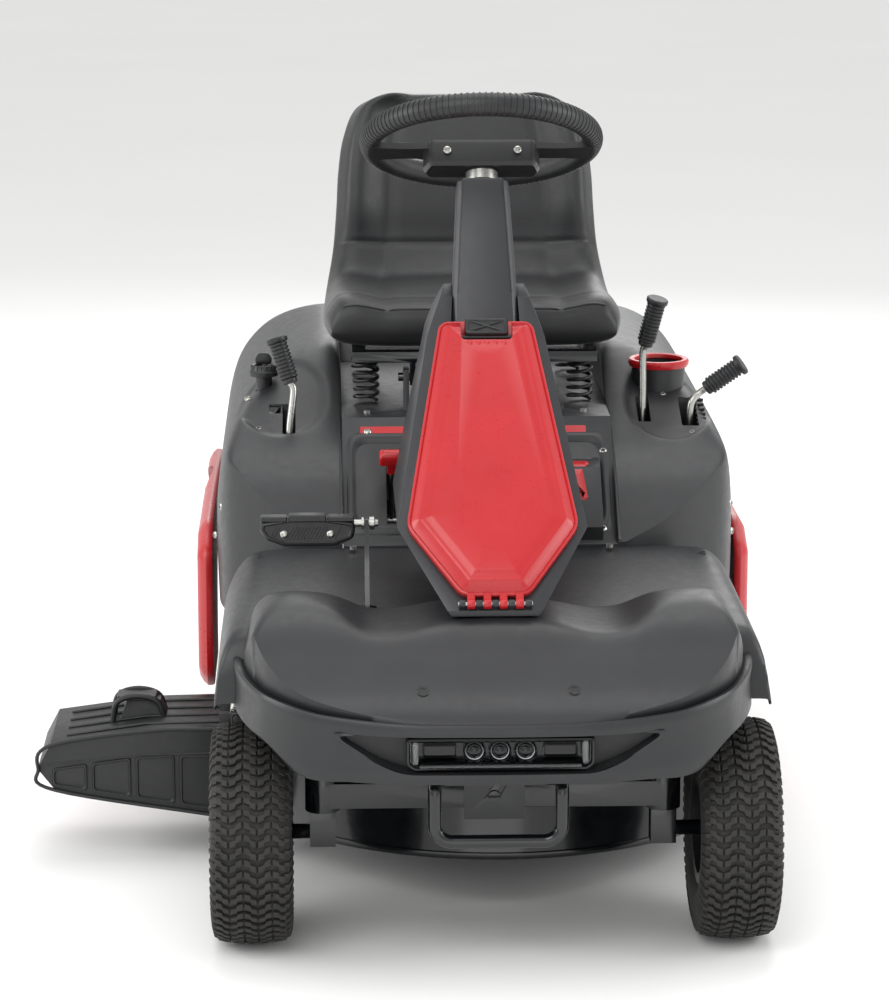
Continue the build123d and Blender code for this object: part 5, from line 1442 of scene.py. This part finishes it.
for x, y, z in edge_spots:
    wide = read(FENDER_WIDE, y)
    edge_points.append(at(math.copysign(wide - 3, x), y, z))
    edge_facing.append(Vector((math.copysign(0.8, x), -0.6, 0)))
dressed("edge_screws", scattered("edge_screws", screw_shape, edge_points, edge_facing, zinc),
        zinc, "frame")

# %% [markdown]
# ## Between the knees
# The riser under the seat has a raised border and a plain red label strip on each side of the
# console. Beside the console on the machine's left is a red bulged cover in a black gasket.

# %% Riser trim
def riser_y(z):
    """The riser's front face at a height."""
    return -150 + (z - 427) * (150 / (573 - 427))


riser_out = Vector((0, -0.697, 0.717))


def on_riser(x, z, w):
    """A point of the riser's sloping face, w out of it."""
    return at(x, riser_y(z), z) + riser_out * (w / 1000)


for side, word in ((-1, "right"), (1, "left")):
    if side < 0:
        frame_line = [(-172, 446), (-84, 446), (-84, 548), (-172, 548)]
    else:
        frame_line = [(84, 446), (172, 446), (172, 548), (84, 548)]
    border = skin([[on_riser(p.x, p.y, w) for p in rounded(inset(frame_line, d), 18, 5)]
                   for d, w in ((-7, 0.2), (-4, 2.6), (-1, 3.4), (2, 2.4), (5, 0.3))], caps=False)
    piece("riser_border_" + word, *border, body_plastic, "frame", "moulded_charcoal")
label_on_right = stacked([(-160, 552), (-92, 552), (-92, 562), (-160, 562)], [(0, 0.2), (0.2, 0.9)],
                on_riser, 0.8, 2)
label_on_left = stacked([(92, 552), (150, 552), (150, 562), (92, 562)], [(0, 0.2), (0.2, 0.9)],
                      on_riser, 0.8, 2)
piece("riser_label", *joined([label_on_right, label_on_left]), lid_plastic, "frame", "red_plastic")
gasket = stacked([(98, 448), (160, 448), (168, 462), (160, 524), (98, 524)],
                 [(0, 0.3), (0, 2.6), (2, 3.4), (5, 3.4)], on_riser, 8, 4)
piece("cover_gasket", *gasket, black_plastic, "frame", "black_plastic")
bulge = stacked([(100, 452), (155, 452), (163, 464), (154, 518), (100, 518)],
                [(0, 2.0), (0, 6), (1.5, 10), (5, 14.5), (11, 18.5), (18, 20.6), (23, 21.2)],
                on_riser, 10, 5)
piece("red_cover", *bulge, lid_plastic, "frame", "red_plastic")
riser_screws = scattered("riser_screws", screw_shape,
                         [on_riser(x, z, 0.6) for x, z in ((166, 444), (-176, 440), (172, 532),
                                                           (-150, 556))],
                         [riser_out] * 4, zinc)
dressed("riser_screws", riser_screws, zinc, "frame")

# %% [markdown]
# ## The discharge chute
# A deep hood in dark polyethylene, hinged at the deck. Its front has four sunken panels
# between ribs, its lip is thicker, and a strap handle stands on top.

# %% Chute details
front_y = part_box("discharge_chute")[0].y * 1000 - centre_y * 1000


def on_chute(x, z, w):
    """A point of the chute's front face, w out of it."""
    return at(x, front_y - w, z)


def chute_low(x):
    return 63 + (-342 - x) * (101 - 63) / (574 - 342)


def chute_high(x):
    return 183 - max(0, (-450 - x)) * 0.135


ribs, x = [], -356
for i, width in enumerate((50, 50, 50, 44)):
    x1, x0 = x, x - width
    corners = [(x0, chute_low(x0) + 8), (x1, chute_low(x1) + 8), (x1, chute_high(x1) - 34),
               (x0, chute_high(x0) - 34)]
    ribs.append(skin([[on_chute(p.x, p.y, w) for p in rounded(inset(corners, d), 5, 3)]
                      for d, w in ((-1.5, 0.1), (-0.5, 2.2), (1.2, 2.4), (2.6, 0.2))],
                     caps=False))
    x = x0 - 9
lip_line = [(-344, 62), (-574, 102), (-597, 132), (-580, 165), (-448, 184), (-346, 186)]
ribs.append(tube(smooth_route([on_chute(px, pz, 0.5) for px, pz in lip_line], 8), 2.6, 8))
ribs.append(tube([on_chute(-346, 152, 0), on_chute(-450, 150, 0), on_chute(-588, 138, 0)], 1.6, 6))
for i in range(4):
    y = -160 + 38 * i
    ribs.append(tube([at(-352, y, 187), at(-456, y, 184.5), at(-560, y, 169.5)], 1.8, 8))
piece("chute_ribs", *joined(ribs), chute_plastic, "chute", "black_plastic")
strap = []
for y0 in (-122, -84):
    strap.append(tube(smooth_route([at(-430, y0, 184), at(-440, y0, 206), at(-468, y0, 213),
                                    at(-494, y0, 204), at(-500, y0, 176)], 6), 4.0, 10))
grip_plate = stacked([(-494, -122), (-440, -122), (-440, -84), (-494, -84)],
                     [(1, 206), (0, 207), (0, 211), (1.4, 212.6)],
                     lambda x, y, z: at(x, y, z), 3, 3)
piece("chute_handle", *joined([*strap, grip_plate]), chute_plastic, "chute", "black_plastic")
coil = [at(-330 + 9 * math.cos(k * 0.55), -172 + k * 0.52, 197 + 9 * math.sin(k * 0.55))
        for k in range(110)]
piece("chute_spring", *tube(coil, 1.3, 6), zinc, "chute", "zinc_steel")
print("chute details")

# %% [markdown]
# ## Everything that is left
# Nodes that keep their measured shape get the finish of their slot.

# %% Finish the remaining nodes
for name, obj in nodes.items():
    if not obj.hide_render:
        material = slot_material[slot_of_node[name]]
        if not obj.material_slots:
            obj.data.materials.append(material)
        for material_slot in obj.material_slots:
            material_slot.link = "OBJECT"
            material_slot.material = material
